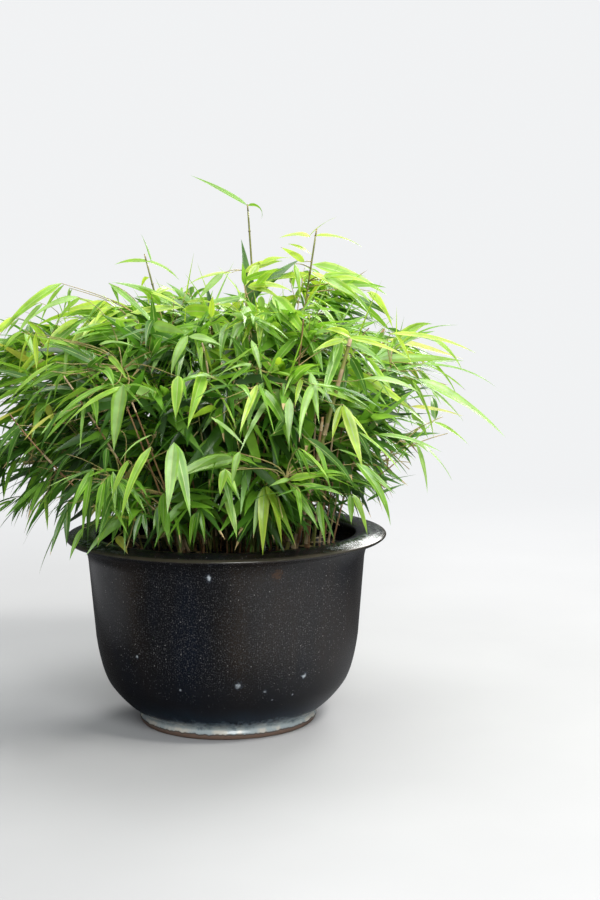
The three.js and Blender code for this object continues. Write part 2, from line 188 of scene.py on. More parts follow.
# The leaves at the tip of the tallest shoot, as in the source, but bent in a curve: which way each one sets
# off, how far it bends in radians, and its length and width.
SHOOT_LEAVES = [
    {"along": (-0.8, 0.1, 0.52), "bend": 0.25, "length": 80, "width": 6.5},
    {"along": (0.9, -0.2, 0.25), "bend": 2.4, "length": 30, "width": 5},
]
SHOOT_STEM = 9
SHOOT_TINT = 2
SHOOT_FORM = {"fine": True, "roll": 0.8, "twist": 0.2, "dry": False, "fold": 0.6}

# Where along the other shoots their few leaves are, how they droop in radians, their size, and how far past
# the outline they may reach.
SHOOT_FANS_AT = (0.82, 0.88, 0.94, 1.0)
SHOOT_DROOP = -0.4
SHOOT_LEAF_SIZE = 0.9
SHOOT_SPARE = 60

# Boughs and twigs.
TWIG_TURN = 137.5
BOUGH_START = 0.5
BOUGH_LENGTH = (50, 110)
BOUGH_OPEN = (30, 78)
BOUGH_RADIUS = (0.9, 0.5)
BOUGH_SIDES = 5
STEM_TIP_RADIUS = 1.1
STEM_SIDES = 6
TWIGS_PER_BOUGH = 5
TWIG_LENGTH = (14, 46)
TWIG_OPEN = (28, 72)
TWIG_RADIUS = (0.55, 0.35)
TWIG_SIDES = 3
TWIG_STEPS = 5
TWIG_ASTRAY = 40
LIGHT_SEEKING = 0.7

# How much twigs sag at the top of the crown and at its skirt, and the shares of that for twigs and boughs.
SAG = (0.0, 0.5)
TWIG_SAG = 0.5
BOUGH_SAG = 0.6

# How far inside the outline twigs and boughs end, how far they stay above the rim, and how far a bough's end
# does.
TWIG_INSIDE = -8
BOUGH_INSIDE = -14
TWIG_CLEAR = 5
BOUGH_CLEAR = 4
BOUGH_END_CLEAR = 6

# Thin canes that stand beside each cane of the source, and carry twigs from their middles up.
SIDE_CANES = 5
SIDE_CANE_RADIUS = (1.3, 0.6)
SIDE_CANE_LOWER = 0.4
SIDE_CANE_SIDES = 6
SIDE_CANE_STEPS = 16
SIDE_TWIGS_FROM = (0.35, 0.45)
SIDE_TWIG_SPACING = (12, 23)

# How a side cane differs from its cane: in its angle round the pot, how far out its foot is, how far out its
# tip is as a share of the stem, and how many degrees more that rises. Its tip's height is a share of the way
# from a little under the cane's to a little under the crown's top.
SIDE_CANE_ASTRAY = 0.08
SIDE_CANE_FOOT = (-75, -5)
SIDE_CANE_TIP = (-0.35, 1.0)
SIDE_CANE_RISE = (5, 45)
SIDE_CANE_HEIGHT = (0.1, 1.0)
STEEPEST = 85

# The share of that angle by which its foot turns, how far the foot stays from the mouth's edge, and how far a
# little is, under the cane's tip and under the crown's top.
SIDE_FOOT_TURN = 0.7
SIDE_FOOT_CLEAR = 10
SIDE_TIP_UNDER = (20, 35)

# Leaves. The angles are in degrees, and a fan's droop is below the level.
LEAVES_PER_FAN = (3, 6)
LEAF_SPACING = 6
LEAF_LENGTH = (38, 108, 62)
LEAF_SLENDER = (0.115, 0.19)
NARROW_SHARE = 0.24
NARROW = 0.4
LEAF_SIZES = (1, 1, 0.9, 0.8)
LEAF_APART = 4.1
LEAF_OPEN = (14, 55)
LEAF_ASTRAY = 15
LAST_ASTRAY = 9
LEAF_TILT = 22
FAN_OUTWARD = 0.35
DROOP_AT_TOP = (-46, 30)
DROOP_AT_FOOT = (-15, 74)
LEAF_BEND = (0.05, 1.2, 0.3)
LEAF_ROLL = 36
LEAF_TWIST = 24
LEAF_SICKLE = 0.06
LEAF_OUTWARD = 0.3
DRY_SHARE = 0.12

# Leaves are a little larger low down, and towards the right they are larger and slimmer, over these X.
SIZE_BY_HEIGHT = (1.08, 1.1)
SIZE_RIGHT = 1.25
SIZE_OVER = (120, 250)
SLIMMER_RIGHT = 0.8
SLIMMER_OVER = (120, 220)

# The form of a leaf: where it is widest, as a share of its length, its stalk, its rib, how deep it is folded
# along that, and how its margins wave, as shares of half its width.
LEAF_WIDEST = 0.24
LEAF_STALK = 0.05
RIB = 0.08
RIB_DEPTH = 0.12
RIB_WITHIN = 0.2
# The margin's tone, which paints sheen and the light through the edges, begins this far out across a leaf.
MARGIN_FROM = 0.6
FOLD = 0.3
FOLD_VARIES = (0.5, 1.6)
WAVE = 0.09
FINE_LEAF = {
    "stations": (0, 0.05, 0.14, 0.26, 0.4, 0.54, 0.68, 0.81, 0.92, 1),
    "columns": (-1, -0.66, -0.36, -RIB, RIB, 0.36, 0.66, 1),
}
PLAIN_LEAF = {"stations": (0, 0.1, 0.3, 0.55, 0.8, 1), "columns": (-1, 0, 1)}
FINE_BEYOND = 0.72

# The curves of that form: the stalk's end, the powers of the outline before and after the widest place, how
# late along its length it bends, how much of the fold is lost at the tip, how each half curves across, and
# how many half turns the margin's waves make along the leaf and how far they run ahead at the margin.
STALK_END = 0.02
BASE_POWERS = (2.2, 0.8)
TIP_POWERS = (1.75, 1.25)
BEND_POWER = 1.25
FOLD_LOST = 0.55
BLADE_CURVE = (1.25, 0.4)
WAVE_HALF_TURNS = 3
WAVE_AHEAD = 1.1

# Where along a leaf it is tested for room.
SPINE_AT = (0.35, 0.55, 0.75, 1.0)

# How far from the middle of the crown any leaf may end.
CROWN_REACH = 335

# How many leaves reach past the outline, how far, and the lowness that they stay under.
STRAY_SHARE = 0.12
STRAY_REACH = 26
STRAY_UNDER = 0.5

# Leaves that are still rolled up, at the tips of canes.
ROLLED_LENGTH = (45, 92)
ROLLED_SLENDER = 0.034
ROLLED_SHARE = 0.85
ROLLED_OVERSHOOT = 50
ROLLED_BEND = (0.0, 0.6)
ROLLED_ASTRAY = 0.4
ROLLED_RISE = 0.5
ROLLED_FORM = {"fold": 1.6, "dry": False, "fine": False, "twist": 0}

# Large fans that stand out in the photo: where the stalks of each meet, its tint, and its leaves. Besides the
# leaves' own tones, the tints paint light and shade: lime and pale where the leaves catch the light and the
# sky's sheen, deep where they lie in shade. Each leaf has the angle at which it hangs in the picture, from
# straight down and to the right, its length and width.
FRONT_FANS = [
    ((-55, -295, 385), "pale", (0, 80, 15), (20, 85, 14)),
    ((-110, -260, 445), "pale", (-5, 75, 20), (95, 40, 12), (-70, 85, 10)),
    ((-50, -270, 455), "fresh", (0, 50, 14), (25, 30, 8)),
    ((95, -250, 455), "pale", (-5, 60, 10), (5, 45, 9)),
    ((70, -275, 430), "pale", (-10, 50, 10)),
    ((130, -255, 420), "lime", (10, 75, 13), (-30, 40, 8), (40, 60, 10)),
    ((145, -255, 390), "fresh", (50, 70, 8)),
    ((45, -210, 325), "lime", (15, 75, 16), (30, 80, 16), (-10, 80, 13), (-20, 60, 9)),
    ((70, -230, 330), "mid", (35, 65, 9), (55, 55, 9)),
    ((145, -255, 355), "mid", (35, 80, 14), (55, 55, 9)),
    ((15, -300, 375), "pale", (-20, 40, 10)),
    ((-5, -235, 350), "mid", (35, 45, 10), (20, 60, 9)),
    ((-80, -290, 380), "fresh", (-30, 90, 11)),
    ((105, -255, 440), "deep", (85, 75, 16)),
    ((150, -230, 445), "pale", (100, 75, 13)),
    ((222, -165, 440), "pale", (60, 122, 16), (45, 75, 10), (10, 75, 13)),
    ((200, -105, 490), "lime", (20, 55, 10), (90, 105, 6), (95, 70, 5)),
    ((250, -10, 480), "fresh", (55, 65, 8)),
    ((232, -130, 455), "pale", (60, 60, 8), (92, 95, 4)),
    ((220, -190, 370), "pale", (40, 60, 10), (5, 60, 8)),
    ((240, -165, 390), "fresh", (60, 50, 7)),
    ((170, -240, 385), "mid", (85, 75, 9), (55, 45, 9)),
    ((120, -170, 495), "lime", (50, 45, 10), (40, 55, 8)),
    ((180, -5, 535), "lime", (30, 55, 12), (45, 40, 12)),
    ((120, -60, 555), "fresh", (50, 55, 12), (110, 55, 8)),
    ((45, -45, 570), "lime", (120, 40, 12), (-60, 35, 10)),
    ((-145, -270, 355), "mid", (0, 80, 10), (-25, 60, 9), (-80, 50, 5)),
    ((-230, -200, 395), "deep", (-45, 45, 8), (-20, 55, 11)),
    ((-140, -200, 485), "pale", (100, 60, 9)),
    ((-40, -215, 495), "pale", (-35, 50, 11), (90, 45, 10)),
    ((-70, -225, 320), "mid", (5, 45, 9), (-10, 35, 8)),
    ((-35, -215, 295), "mid", (-10, 40, 9)),
    ((-105, -285, 365), "fresh", (-25, 50, 9)),
    ((-180, -190, 305), "deep", (10, 50, 9), (-5, 65, 8), (-25, 90, 4)),
    ((141, -217, 492), "lime", (-115, 42, 10), (80, 80, 6), (100, 60, 6), (-85, 45, 8)),
    ((-75, -215, 305), "deep", (5, 40, 8), (-15, 30, 7)),
    ((-30, -215, 300), "deep", (-5, 50, 9), (15, 40, 6)),
    ((0, -220, 315), "fresh", (20, 50, 10)),
    ((145, -185, 310), "fresh", (10, 50, 10), (-20, 35, 8)),
    ((-150, -215, 320), "deep", (0, 65, 9)),
    ((-160, -215, 280), "mid", (-20, 40, 7)),
    ((-95, -210, 295), "deep", (-10, 40, 7), (20, 30, 6)),
    ((-120, -205, 290), "deep", (-15, 35, 7)),
    ((105, -205, 305), "mid", (-10, 50, 8), (20, 50, 7)),
    ((-190, -190, 465), "fresh", (-55, 75, 9)),
    ((-195, -195, 455), "mid", (-50, 70, 8)),
    ((-200, -195, 440), "mid", (-35, 80, 9)),
    ((-125, -255, 445), "mid", (-70, 85, 9)),
    ((-190, -225, 410), "gold", (-50, 45, 6)),
    ((-180, -240, 415), "deep", (-20, 60, 13)),
    ((-180, -220, 455), "mid", (-15, 30, 8)),
    ((-80, -265, 390), "pale", (-70, 50, 3)),
    ((-140, -240, 350), "pale", (-80, 65, 4)),
    ((-105, -265, 360), "mid", (-35, 30, 9)),
    ((-115, -255, 395), "deep", (-45, 85, 7)),
    ((-130, -255, 375), "deep", (10, 30, 8)),
    ((30, -245, 465), "pale", (-85, 50, 9), (-60, 40, 7)),
    ((30, -225, 490), "pale", (15, 50, 8)),
    ((-5, -270, 430), "mid", (-35, 30, 9)),
    ((-15, -280, 410), "pale", (60, 50, 6)),
    ((85, -255, 450), "lime", (-30, 35, 6)),
    ((0, -290, 355), "fresh", (-20, 30, 10), (30, 30, 8)),
    ((80, -275, 375), "fresh", (50, 50, 8), (25, 50, 8)),
    ((-190, -90, 550), "fresh", (-50, 100, 12), (-35, 55, 9)),
    ((-180, -100, 545), "pale", (20, 35, 5), (-15, 35, 5)),
    ((-135, -90, 550), "mid", (65, 105, 7), (45, 30, 5)),
    ((-95, -70, 540), "lime", (80, 60, 5)),
    ((0, -60, 560), "pale", (-50, 55, 11)),
    ((10, -50, 560), "lime", (-90, 70, 6)),
    ((-235, -120, 495), "fresh", (-45, 35, 9), (40, 30, 8)),
    ((-200, -140, 490), "lime", (5, 45, 9)),
    ((-180, -150, 480), "pale", (10, 45, 6)),
    ((98, -40, 572), "lime", (-110, 36, 9)),
    ((85, -60, 570), "fresh", (-20, 50, 9)),
    ((-225, -140, 355), "deep", (-40, 55, 8), (-25, 55, 6)),
    ((-200, -160, 340), "deep", (-40, 60, 8), (-20, 60, 5)),
    ((-185, -165, 330), "mid", (-30, 55, 8)),
    ((-165, -185, 330), "deep", (-35, 65, 8), (-15, 60, 6)),
    ((-210, -150, 370), "mid", (-55, 60, 8)),
    ((-195, -150, 305), "deep", (-35, 70, 4)),
    ((-180, -185, 360), "deep", (-40, 55, 9), (-20, 50, 7)),
    ((-240, -110, 375), "mid", (-35, 45, 8)),
    ((25, -30, 560), "lime", (125, 52, 14)),
    ((30, -60, 545), "lime", (100, 55, 11), (85, 45, 9)),
    ((125, -50, 550), "lime", (110, 55, 9)),
    ((110, -30, 603), "lime", (95, 62, 7), (-100, 40, 9), (165, 45, 3)),
    ((105, -60, 560), "lime", (60, 55, 9)),
    ((145, -50, 545), "fresh", (60, 40, 8)),
    ((-96, 44, 573), "fresh", (80, 50, 6), (-105, 45, 6), (175, 40, 2.5)),
    ((-215, -100, 528), "fresh", (-60, 60, 11), (-30, 50, 9)),
    ((-245, -80, 510), "lime", (-50, 45, 10), (-20, 45, 8)),
    ((-170, -110, 535), "pale", (-75, 70, 9), (-40, 45, 8)),
    ((-222, -120, 495), "lime", (-10, 50, 9), (30, 45, 8)),
]

# How far such a leaf sets off out of the crown, for each part of its length down, how far it bends, and how
# far apart the leaves' stalks are along the twig.
FAN_REACH = (0.25, 0.65)
FAN_BEND = (0.35, 0.85)
FAN_SPACING = 4
FAN_ROLL = 14

# The twig of such a fan, as shares of its length: how it rises from its stem, how far it runs straight into
# the fan, and how far along and up it bends on a shoot. How much each millimetre that the stem is above the
# fan adds to its distance, as the nearest stem is taken.
FAN_TWIG_RISE = 0.3
FAN_TWIG_STRAIGHT = 0.4
FAN_TWIG_ON_SHOOT = (0.6, 0.1)
FAN_FROM_ABOVE = 2

# How many leaves of such a fan share its tint, besides the first, and how many of any other fan.
FAN_OWN_TINT = 0.4
OWN_TINT = 0.7

# How far, in degrees, the large leaves at the top turn their upper faces to the front, and over which heights
# that sets in.
FAN_FACING = 48
FAN_FACING_OVER = (440, 500)

# How far other leaves in front keep to the side of the large fans, of some side canes and of the front canes,
# seen from the camera.
FAN_VIEW = 8
SIDE_CANE_VIEW = 2.6
FRONT_CANE_VIEW = 3.6

# Which side canes are shown so, one in this many, and how much of them, and of shoots and front canes.
SHOWN_EVERY = 3
SHOWN_MIDDLE = (0.3, 0.95)
SHOWN_UPPER = 0.7

# Canes that show between the leaves in the photo, a stouter one first: the foot of each, a point that it
# bends towards, its tip, its radius at both ends, and the number of its material.
THIN = (1.3, 0.8)
FRONT_CANES = [
    ((75, -100), (112, -195, 380), (141, -215, 490), (2.9, 2.1), 0),
    ((80, -90), (103, -240, 360), (108, -240, 405), (1.9, 1.4), 1),
    ((-60, -70), (-130, -200, 375), (-180, -200, 450), THIN, 1),
    ((-95, -40), (-200, -190, 345), (-245, -170, 405), THIN, 1),
    ((-50, -75), (-95, -200, 375), (-110, -205, 415), THIN, 1),
    ((-42, -75), (-87, -200, 375), (-104, -205, 420), THIN, 1),
    ((-20, -60), (-8, -200, 430), (-25, -190, 485), THIN, 0),
    ((20, -60), (45, -200, 380), (35, -190, 450), THIN, 1),
    ((10, -40), (20, -190, 380), (14, -190, 440), THIN, 0),
    ((60, -50), (84, -190, 450), (90, -180, 510), THIN, 1),
    ((96, -104), (102, -132, 300), (104, -160, 400), THIN, 1),
    ((103, -100), (108, -128, 300), (118, -150, 400), THIN, 0),
    ((109, -95), (116, -124, 300), (128, -150, 395), THIN, 1),
    ((114, -94), (122, -118, 300), (140, -140, 400), THIN, 1),
    ((119, -87), (130, -112, 300), (152, -130, 395), THIN, 0),
    ((124, -84), (138, -108, 300), (168, -122, 390), THIN, 1),
]

# Dry leaves on the soil.
LITTER = 70
LITTER_LENGTH = (22, 48)
LITTER_SLENDER = 0.17
LITTER_REACH = 140
LITTER_TILT = (-0.02, 0.12)
LITTER_BEND = 0.1
LITTER_LIFT = 3

# The camera, as fitted to the pot's rim and foot in the photo: distances in metres and angles in degrees.
CAMERA_PLACE = (0, -2.2, 0.6143)
CAMERA_PITCH = 7.143
CAMERA_TURN = -2.414
CAMERA_ROLL = -0.365
CAMERA_LENS = 71.29
CAMERA_SENSOR = 36

# The lights: the place of each and the place that it shines on in metres, its width, its power in watts and
# its colour.
LIGHTS = {
    "key": ((1.4, -1.5, 2.7), (0, 0, 0.35), 0.7, 82, (1.0, 0.98, 0.94)),
    "back": ((1.2, 2.2, 1.8), (0, 0, 0.4), 1.6, 78, (1.0, 1.0, 0.98)),
    "top": ((0.3, 0.2, 3.0), (0, 0, 0.4), 1.6, 40, (1.0, 1.0, 0.97)),
    "front": ((0.5, -2.9, 1.6), (0, 0, 0.33), 1.5, 75, (0.97, 0.99, 1.0)),
}

# The floor: how far it reaches, the scale and detail of the noise between its colours, the distance in metres
# over which it fades into the backdrop, and the ends of a mask that dims its glow for all but the camera.
BACKDROP = (0.88, 0.89, 0.90)
FLOOR_COLOURS = ((0.3, (0.38, 0.38, 0.385)), (0.7, (0.40, 0.40, 0.405)))
FLOOR_REACH = 30
FLOOR_NOISE = (3, 3)
FLOOR_FADE = (0.55, 2.1)
FLOOR_GLOW = (-0.20, 1.0)

# The floor's colour as the glaze mirrors it, and two lighter parts of that, at the right in front and at the
# left behind: the X and the Y in metres over which each sets in, and its colour.
MIRRORED_FLOOR = (0.04, 0.04, 0.042)
MIRRORED_PARTS = [
    ((-0.15, 0.35), (0.45, -0.40), (0.28, 0.28, 0.29)),
    ((-0.40, -0.65), (-0.25, 0.0), (0.20, 0.20, 0.21)),
]

# The sky's colours by height.
SKY = ((0.0, (0.03, 0.032, 0.035)), (0.35, (0.20, 0.21, 0.22)), (0.85, (0.95, 0.98, 1.0)))
SKY_STRENGTH = 0.85

# The leaves' tints: their colour, and the colour of the light that comes through them. Besides the leaves'
# own tones they paint light and shade: shade is painted shade deep in the crown, pale holds a painted bluish
# sheen, and lime and deep are dealt out where leaves are lit and where they lie in shade.
TINTS = {
    "lime": ((0.37, 0.56, 0.045), (0.64, 0.90, 0.05)),
    "fresh": ((0.215, 0.42, 0.036), (0.44, 0.78, 0.05)),
    "mid": ((0.130, 0.300, 0.024), (0.31, 0.65, 0.04)),
    "deep": ((0.046, 0.138, 0.012), (0.12, 0.34, 0.02)),
    # A leaf tone with a painted bluish sheen in it.
    "pale": ((0.30, 0.48, 0.15), (0.43, 0.76, 0.10)),
    "gold": ((0.46, 0.48, 0.075), (0.72, 0.74, 0.09)),
    # Painted shade, for leaves deep inside the crown.
    "shade": ((0.020, 0.062, 0.007), (0.05, 0.15, 0.010)),
}

# The colours along the margins of the first tints, and along the ribs. Set against the middles, the margins'
# tones paint the sheen across a leaf and the light through its thin edges.
MARGINS = {
    "lime": ((0.52, 0.64, 0.09), (0.70, 0.92, 0.08)),
    "fresh": ((0.36, 0.53, 0.07), (0.55, 0.84, 0.07)),
    "mid": ((0.20, 0.39, 0.035), (0.38, 0.70, 0.04)),
    "deep": ((0.07, 0.18, 0.018), (0.15, 0.38, 0.02)),
    "pale": ((0.25, 0.45, 0.06), (0.48, 0.78, 0.08)),
}
RIB_COLOUR = ((0.36, 0.50, 0.14), (0.5, 0.7, 0.15))
RIB_MARK = len(TINTS) + len(MARGINS)
DRY_MARK = RIB_MARK + 1

# The tints, by number, that the other leaves of a large fan may have, and those of rolled leaves.
OTHER_TINTS = {
    "lime": (0, 0, 1, 4),
    "fresh": (1, 2, 2, 4),
    "mid": (2, 3),
    "deep": (2, 3),
    "pale": (1, 2, 2, 4),
    "gold": (1, 2, 2, 4),
}
ROLLED_TINTS = (0, 1, 4)

# Where in X the painted shade on the crown's left side, which lies away from the light, sets in, and how much
# less bright its leaves are at most.
LEFT_SHADE_OVER = (-10, -160)
LEFT_PAINTED_SHADE = 0.88

# Where in a noise the two colours of leaves and of plain materials begin, and the plain ones' bumps.
LEAF_STOPS = (0.3, 0.7)
PLAIN_STOPS = (0.32, 0.68)
PLAIN_DETAIL = 5
PLAIN_BUMPS = 0.6

# How the leaves look: the least and the most of their colour, the scale and detail of the noises that vary
# it and roughen it, the strength and depth of the bumps, their gloss, and how much light comes through.
LEAF_SHADES = (0.72, 1.25)
LEAF_NOISE = (70, 4)
LEAF_GRAIN = (420, 2)
LEAF_BUMPS = (0.12, 0.0006)
LEAF_ROUGHNESS = 0.4
LEAF_SPECULAR = 0.85
LEAF_THROUGH = 0.35

# The plain materials: the two colours of each, how many patches there are to a metre, its roughness, and how
# deep its bumps are in metres.
PLAIN = {
    "leaf_dry": ((0.30, 0.20, 0.09), (0.46, 0.35, 0.17), 60, 0.6, 0),
    "twig_olive": ((0.22, 0.22, 0.06), (0.40, 0.28, 0.12), 50, 0.5, 0),
    "cane_olive": ((0.13, 0.15, 0.035), (0.27, 0.26, 0.075), 35, 0.4, 0.0004),
    "cane_russet": ((0.17, 0.075, 0.035), (0.33, 0.19, 0.09), 35, 0.45, 0.0004),
    "cane_node": ((0.06, 0.04, 0.02), (0.16, 0.12, 0.06), 80, 0.6, 0),
    "cane_sheath": ((0.30, 0.20, 0.11), (0.48, 0.36, 0.22), 60, 0.6, 0.0004),
    "soil_dark": ((0.006, 0.004, 0.003), (0.03, 0.02, 0.013), 140, 0.95, 0.001),
}

# The materials of the canes, by number. Most are olive or russet, with a darker ring at each node.
CANE_MATERIALS = ("cane_olive", "cane_russet", "cane_node", "cane_sheath")
OLIVE = 0
CANE_TINTS = (0, 0, 1)
SIDE_CANE_TINTS = (0, 1, 1)
NODE_MARK = CANE_MATERIALS.index("cane_node")
SHEATH_MARK = CANE_MATERIALS.index("cane_sheath")

# The noises of the glaze: the scale of each, along each axis where it has three, and its detail.
GLAZE_NOISES = {
    "clouds": ((14, 14, 3.5), 3),
    "ruffled spots": (320, 2),
    "wide streaks": ((55, 55, 7), 4),
    "fine streaks": ((190, 190, 25), 3),
    "rim": ((150, 150, 150), 4),
    "ripples": (30, 3),
    "grain": (650, 2),
}
RIPPLE_BUMPS = (0.25, 0.0012)
GRAIN_BUMPS = (0.35, 0.0004)

# The black glaze: its clouds, and its specks, finer ones first. Each kind of speck has how many cells there
# are to a metre, its size as a share of a cell, the share of cells left empty, and its colour.
GLAZE_CLOUDS = [
    (0.34, (0.0040, 0.0064, 0.0120)),
    (0.5, (0.0066, 0.0064, 0.0068)),
    (0.66, (0.0150, 0.0102, 0.0068)),
]
GLAZE_SPECKS = [
    (620, 0.32, 0.15, (0.022, 0.022, 0.024)),
    (390, 0.23, 0.55, (0.054, 0.052, 0.053)),
    (220, 0.12, 0.86, (0.17, 0.165, 0.16)),
]

# Pale spots in the glaze, and one rusty one: the height of each, its angle round the pot in degrees, and its
# radius. A pale spot is a faint halo with a bright core on it, each with its size as a share of that radius.
GLAZE_SPOTS = [
    (212, -97.0, 3.0),
    (80, -85.5, 3.4),
    (84, -55.5, 2.8),
    (109, -131.0, 1.8),
    (73, -111.0, 1.6),
    (70, -74.0, 1.8),
    (58, -70.0, 1.5),
    (62, -60.0, 1.3),
    (50, -156.0, 1.8),
]
SPOT_LAYERS = [(1.7, (0.030, 0.036, 0.046)), (0.9, (0.48, 0.52, 0.56))]
RUST_SPOT = (213, -70.0, 7.5)
RUST = (0.045, 0.022, 0.010)

# Where the edges of specks and of spots set in, as shares of their sizes, and how ragged a spot's edge is.
SPECK_EDGE = (1.6, 0.7)
SPOT_EDGE = (0.2, -0.9)
SPOT_RAGGED = 2.2

# The bands of the glaze towards the foot: which streaks its edge follows, the heights in metres between which
# it sets in, whether it lies only in patches, and its colour. The last one is the raw clay.
FOOT_BANDS = [
    ("wide", 0.120, 0.010, False, (0.0035, 0.0045, 0.0065)),
    ("wide", 0.044, 0.008, False, (0.011, 0.022, 0.036)),
    ("both", 0.0150, 0.0020, False, (0.13, 0.165, 0.185)),
    ("both", 0.0050, -0.0010, False, (0.34, 0.39, 0.40)),
    ("fine", 0.0115, 0.0075, True, (0.54, 0.52, 0.455)),
    ("fine", 0.0062, 0.0040, False, (0.060, 0.044, 0.038)),
    ("fine", 0.0042, 0.0028, False, (0.165, 0.105, 0.075)),
]

# How far down the streaks run, in metres, and where in the noises the patches at the foot and those of the
# painted reflection on the rim are.
STREAK_LENGTHS = {"wide": 0.016, "fine": 0.005, "both": 0.012}
FOOT_PATCHES = (0.44, 0.58)
RIM_PATCHES = (0.44, 0.62)

# A painted reflection on top of the rim, mottled grey-green, and the brown edge of its lip. The painted
# reflection sets in to both sides over these X, and both set in over these distances from the axis and these
# heights, all in metres.
RIM_SIDES = (0.09, 0.185)
RIM_OUT = ((NECK_RADIUS + 1) * MM, (NECK_RADIUS + 6) * MM)
RIM_UP = ((POT_HEIGHT - 9) * MM, (POT_HEIGHT - 6) * MM)
LIP_OUT = ((RIM_RADIUS - 7) * MM, (RIM_RADIUS - 3.5) * MM)
LIP_UP = ((POT_HEIGHT - 10) * MM, (POT_HEIGHT - 7.5) * MM)
# The colour of the painted reflection on the rim.
PAINTED_RIM_REFLECTION = (0.19, 0.22, 0.20)
LIP_BROWN = (0.050, 0.042, 0.031)
GLAZE_ROUGHNESS = 0.15
CLAY_ROUGHNESS = 0.75


# Small helpers.

def unit(vector):
    return vector / np.linalg.norm(vector)


def mix(a, b, t):
    return a + (b - a) * t


def part_way(value, none_at, full_at):
    """0 up to none_at, 1 from full_at on, and a share of 1 between them."""
    return min(max((value - none_at) / (full_at - none_at), 0), 1)


def either_way(most, chance):
    return chance.uniform(-most, most)


def around(turn, radius, height):
    return np.array([radius * math.cos(turn), radius * math.sin(turn), height])


def turned_about(vector, axis, angle):
    """The vector turned about a unit axis, by an angle in radians."""
    cosine = math.cos(angle)
    across = np.cross(axis, vector)
    return vector * cosine + across * math.sin(angle) + axis * np.dot(axis, vector) * (1 - cosine)


def square_to(vector, way):
    """The part of a vector that is square to a unit way, made a unit vector."""
    return unit(vector - way * np.dot(vector, way))


def bezier(controls, t):
    """Points on a Bezier curve at each of the values t."""
    t = np.asarray(t, float)[:, None]
    layer = [np.asarray(c, float)[None, :] for c in controls]
    while len(layer) > 1:
        layer = [a * (1 - t) + b * t for a, b in zip(layer, layer[1:])]
    return layer[0]


def curve(controls, count, start=0.0, end=1.0):
    """This many points on a Bezier curve, from one place on it to another."""
    return bezier(controls, np.linspace(start, end, count))


def distances_along(points):
    """How far along a line each of its points is."""
    return np.concatenate([[0], np.cumsum(np.linalg.norm(np.diff(points, axis=0), axis=1))])


def add_object(name, data):
    added = bpy.data.objects.new(name, data)
    bpy.context.scene.collection.objects.link(added)
    return added


class Bunch:
    """Vertices and faces that are gathered up for one mesh. Each face has the number of its material."""

    def __init__(self):
        self.points = []
        self.faces = {3: [], 4: []}
        self.marks = {3: [], 4: []}
        self.size = 0

    def add(self, points, faces, mark=0):
        """Adds points and faces with all 3 or all 4 corners. mark is a number, or one for each face."""
        points = np.asarray(points, float).reshape(-1, 3)
        faces = np.asarray(faces, np.int64)
        self.points.append(points)
        self.add_faces(faces + self.size, mark)
        self.size += len(points)

    def add_faces(self, faces, mark=0):
        corners = faces.shape[1]
        self.faces[corners].append(faces)
        self.marks[corners].append(np.broadcast_to(np.asarray(mark), (len(faces),)))

    def add_rings(self, rings, ends, mark=0):
        """A closed skin over rings of points, with a point at each end. mark may differ from ring to ring."""
        count, sides = rings.shape[:2]
        first = np.arange(count - 1)[:, None] * sides
        here = np.arange(sides)[None, :]
        beside = (here + 1) % sides
        corners = [first + here, first + beside, first + sides + beside, first + sides + here]
        marks = np.broadcast_to(np.asarray(mark), (count - 1,))
        base = self.size
        points = np.concatenate([rings.reshape(-1, 3), ends])
        self.add(points, np.stack(corners, axis=-1).reshape(-1, 4), np.repeat(marks, sides))
        centre = count * sides
        last = centre - sides
        caps = [[centre, b, a] for a, b in zip(here[0], beside[0])]
        caps += [[centre + 1, last + a, last + b] for a, b in zip(here[0], beside[0])]
        self.add_faces(np.array(caps) + base, marks[0])

    def mesh(self, name, materials):
        """The piece made of all that was gathered, with smooth faces."""
        points = np.concatenate(self.points) * MM
        mesh = bpy.data.meshes.new(name)
        mesh.vertices.add(len(points))
        mesh.vertices.foreach_set("co", points.astype(np.float32).ravel())
        groups = [n for n in (3, 4) if self.faces[n]]
        faces = {n: np.concatenate(self.faces[n]) for n in groups}
        marks = np.concatenate([np.concatenate(self.marks[n]) for n in groups])
        corners = np.concatenate([faces[n].ravel() for n in groups])
        sizes = np.concatenate([np.full(len(faces[n]), n) for n in groups])
        starts = np.concatenate([[0], np.cumsum(sizes)[:-1]])
        mesh.loops.add(len(corners))
        mesh.loops.foreach_set("vertex_index", corners.astype(np.int32))
        mesh.polygons.add(len(sizes))
        mesh.polygons.foreach_set("loop_start", starts.astype(np.int32))
        mesh.polygons.foreach_set("material_index", marks.astype(np.int32))
        mesh.polygons.foreach_set("use_smooth", np.ones(len(sizes), bool))
        for material in materials:
            mesh.materials.append(material)
        mesh.update(calc_edges=True)
        mesh.validate()
        piece = add_object(name, mesh)
        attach(piece, "root")
        return piece


def tube(bunch, points, radii, sides, mark=0):
    """A closed round tube through points. mark is a number, or one for each stretch between two points."""
    ways = np.gradient(points, axis=0)
    ways /= np.linalg.norm(ways, axis=1)[:, None]
    side = square_to(UP if abs(ways[0][2]) < 0.9 else np.array([1.0, 0, 0]), ways[0])
    angles = 2 * np.pi * np.arange(sides) / sides
    rings = []
    for point, way, radius in zip(points, ways, radii):
        side = square_to(side, way)
        other = np.cross(way, side)
        ring = np.cos(angles)[:, None] * side + np.sin(angles)[:, None] * other
        rings.append(point + radius * ring)
    bunch.add_rings(np.array(rings), [points[0], points[-1]], mark)


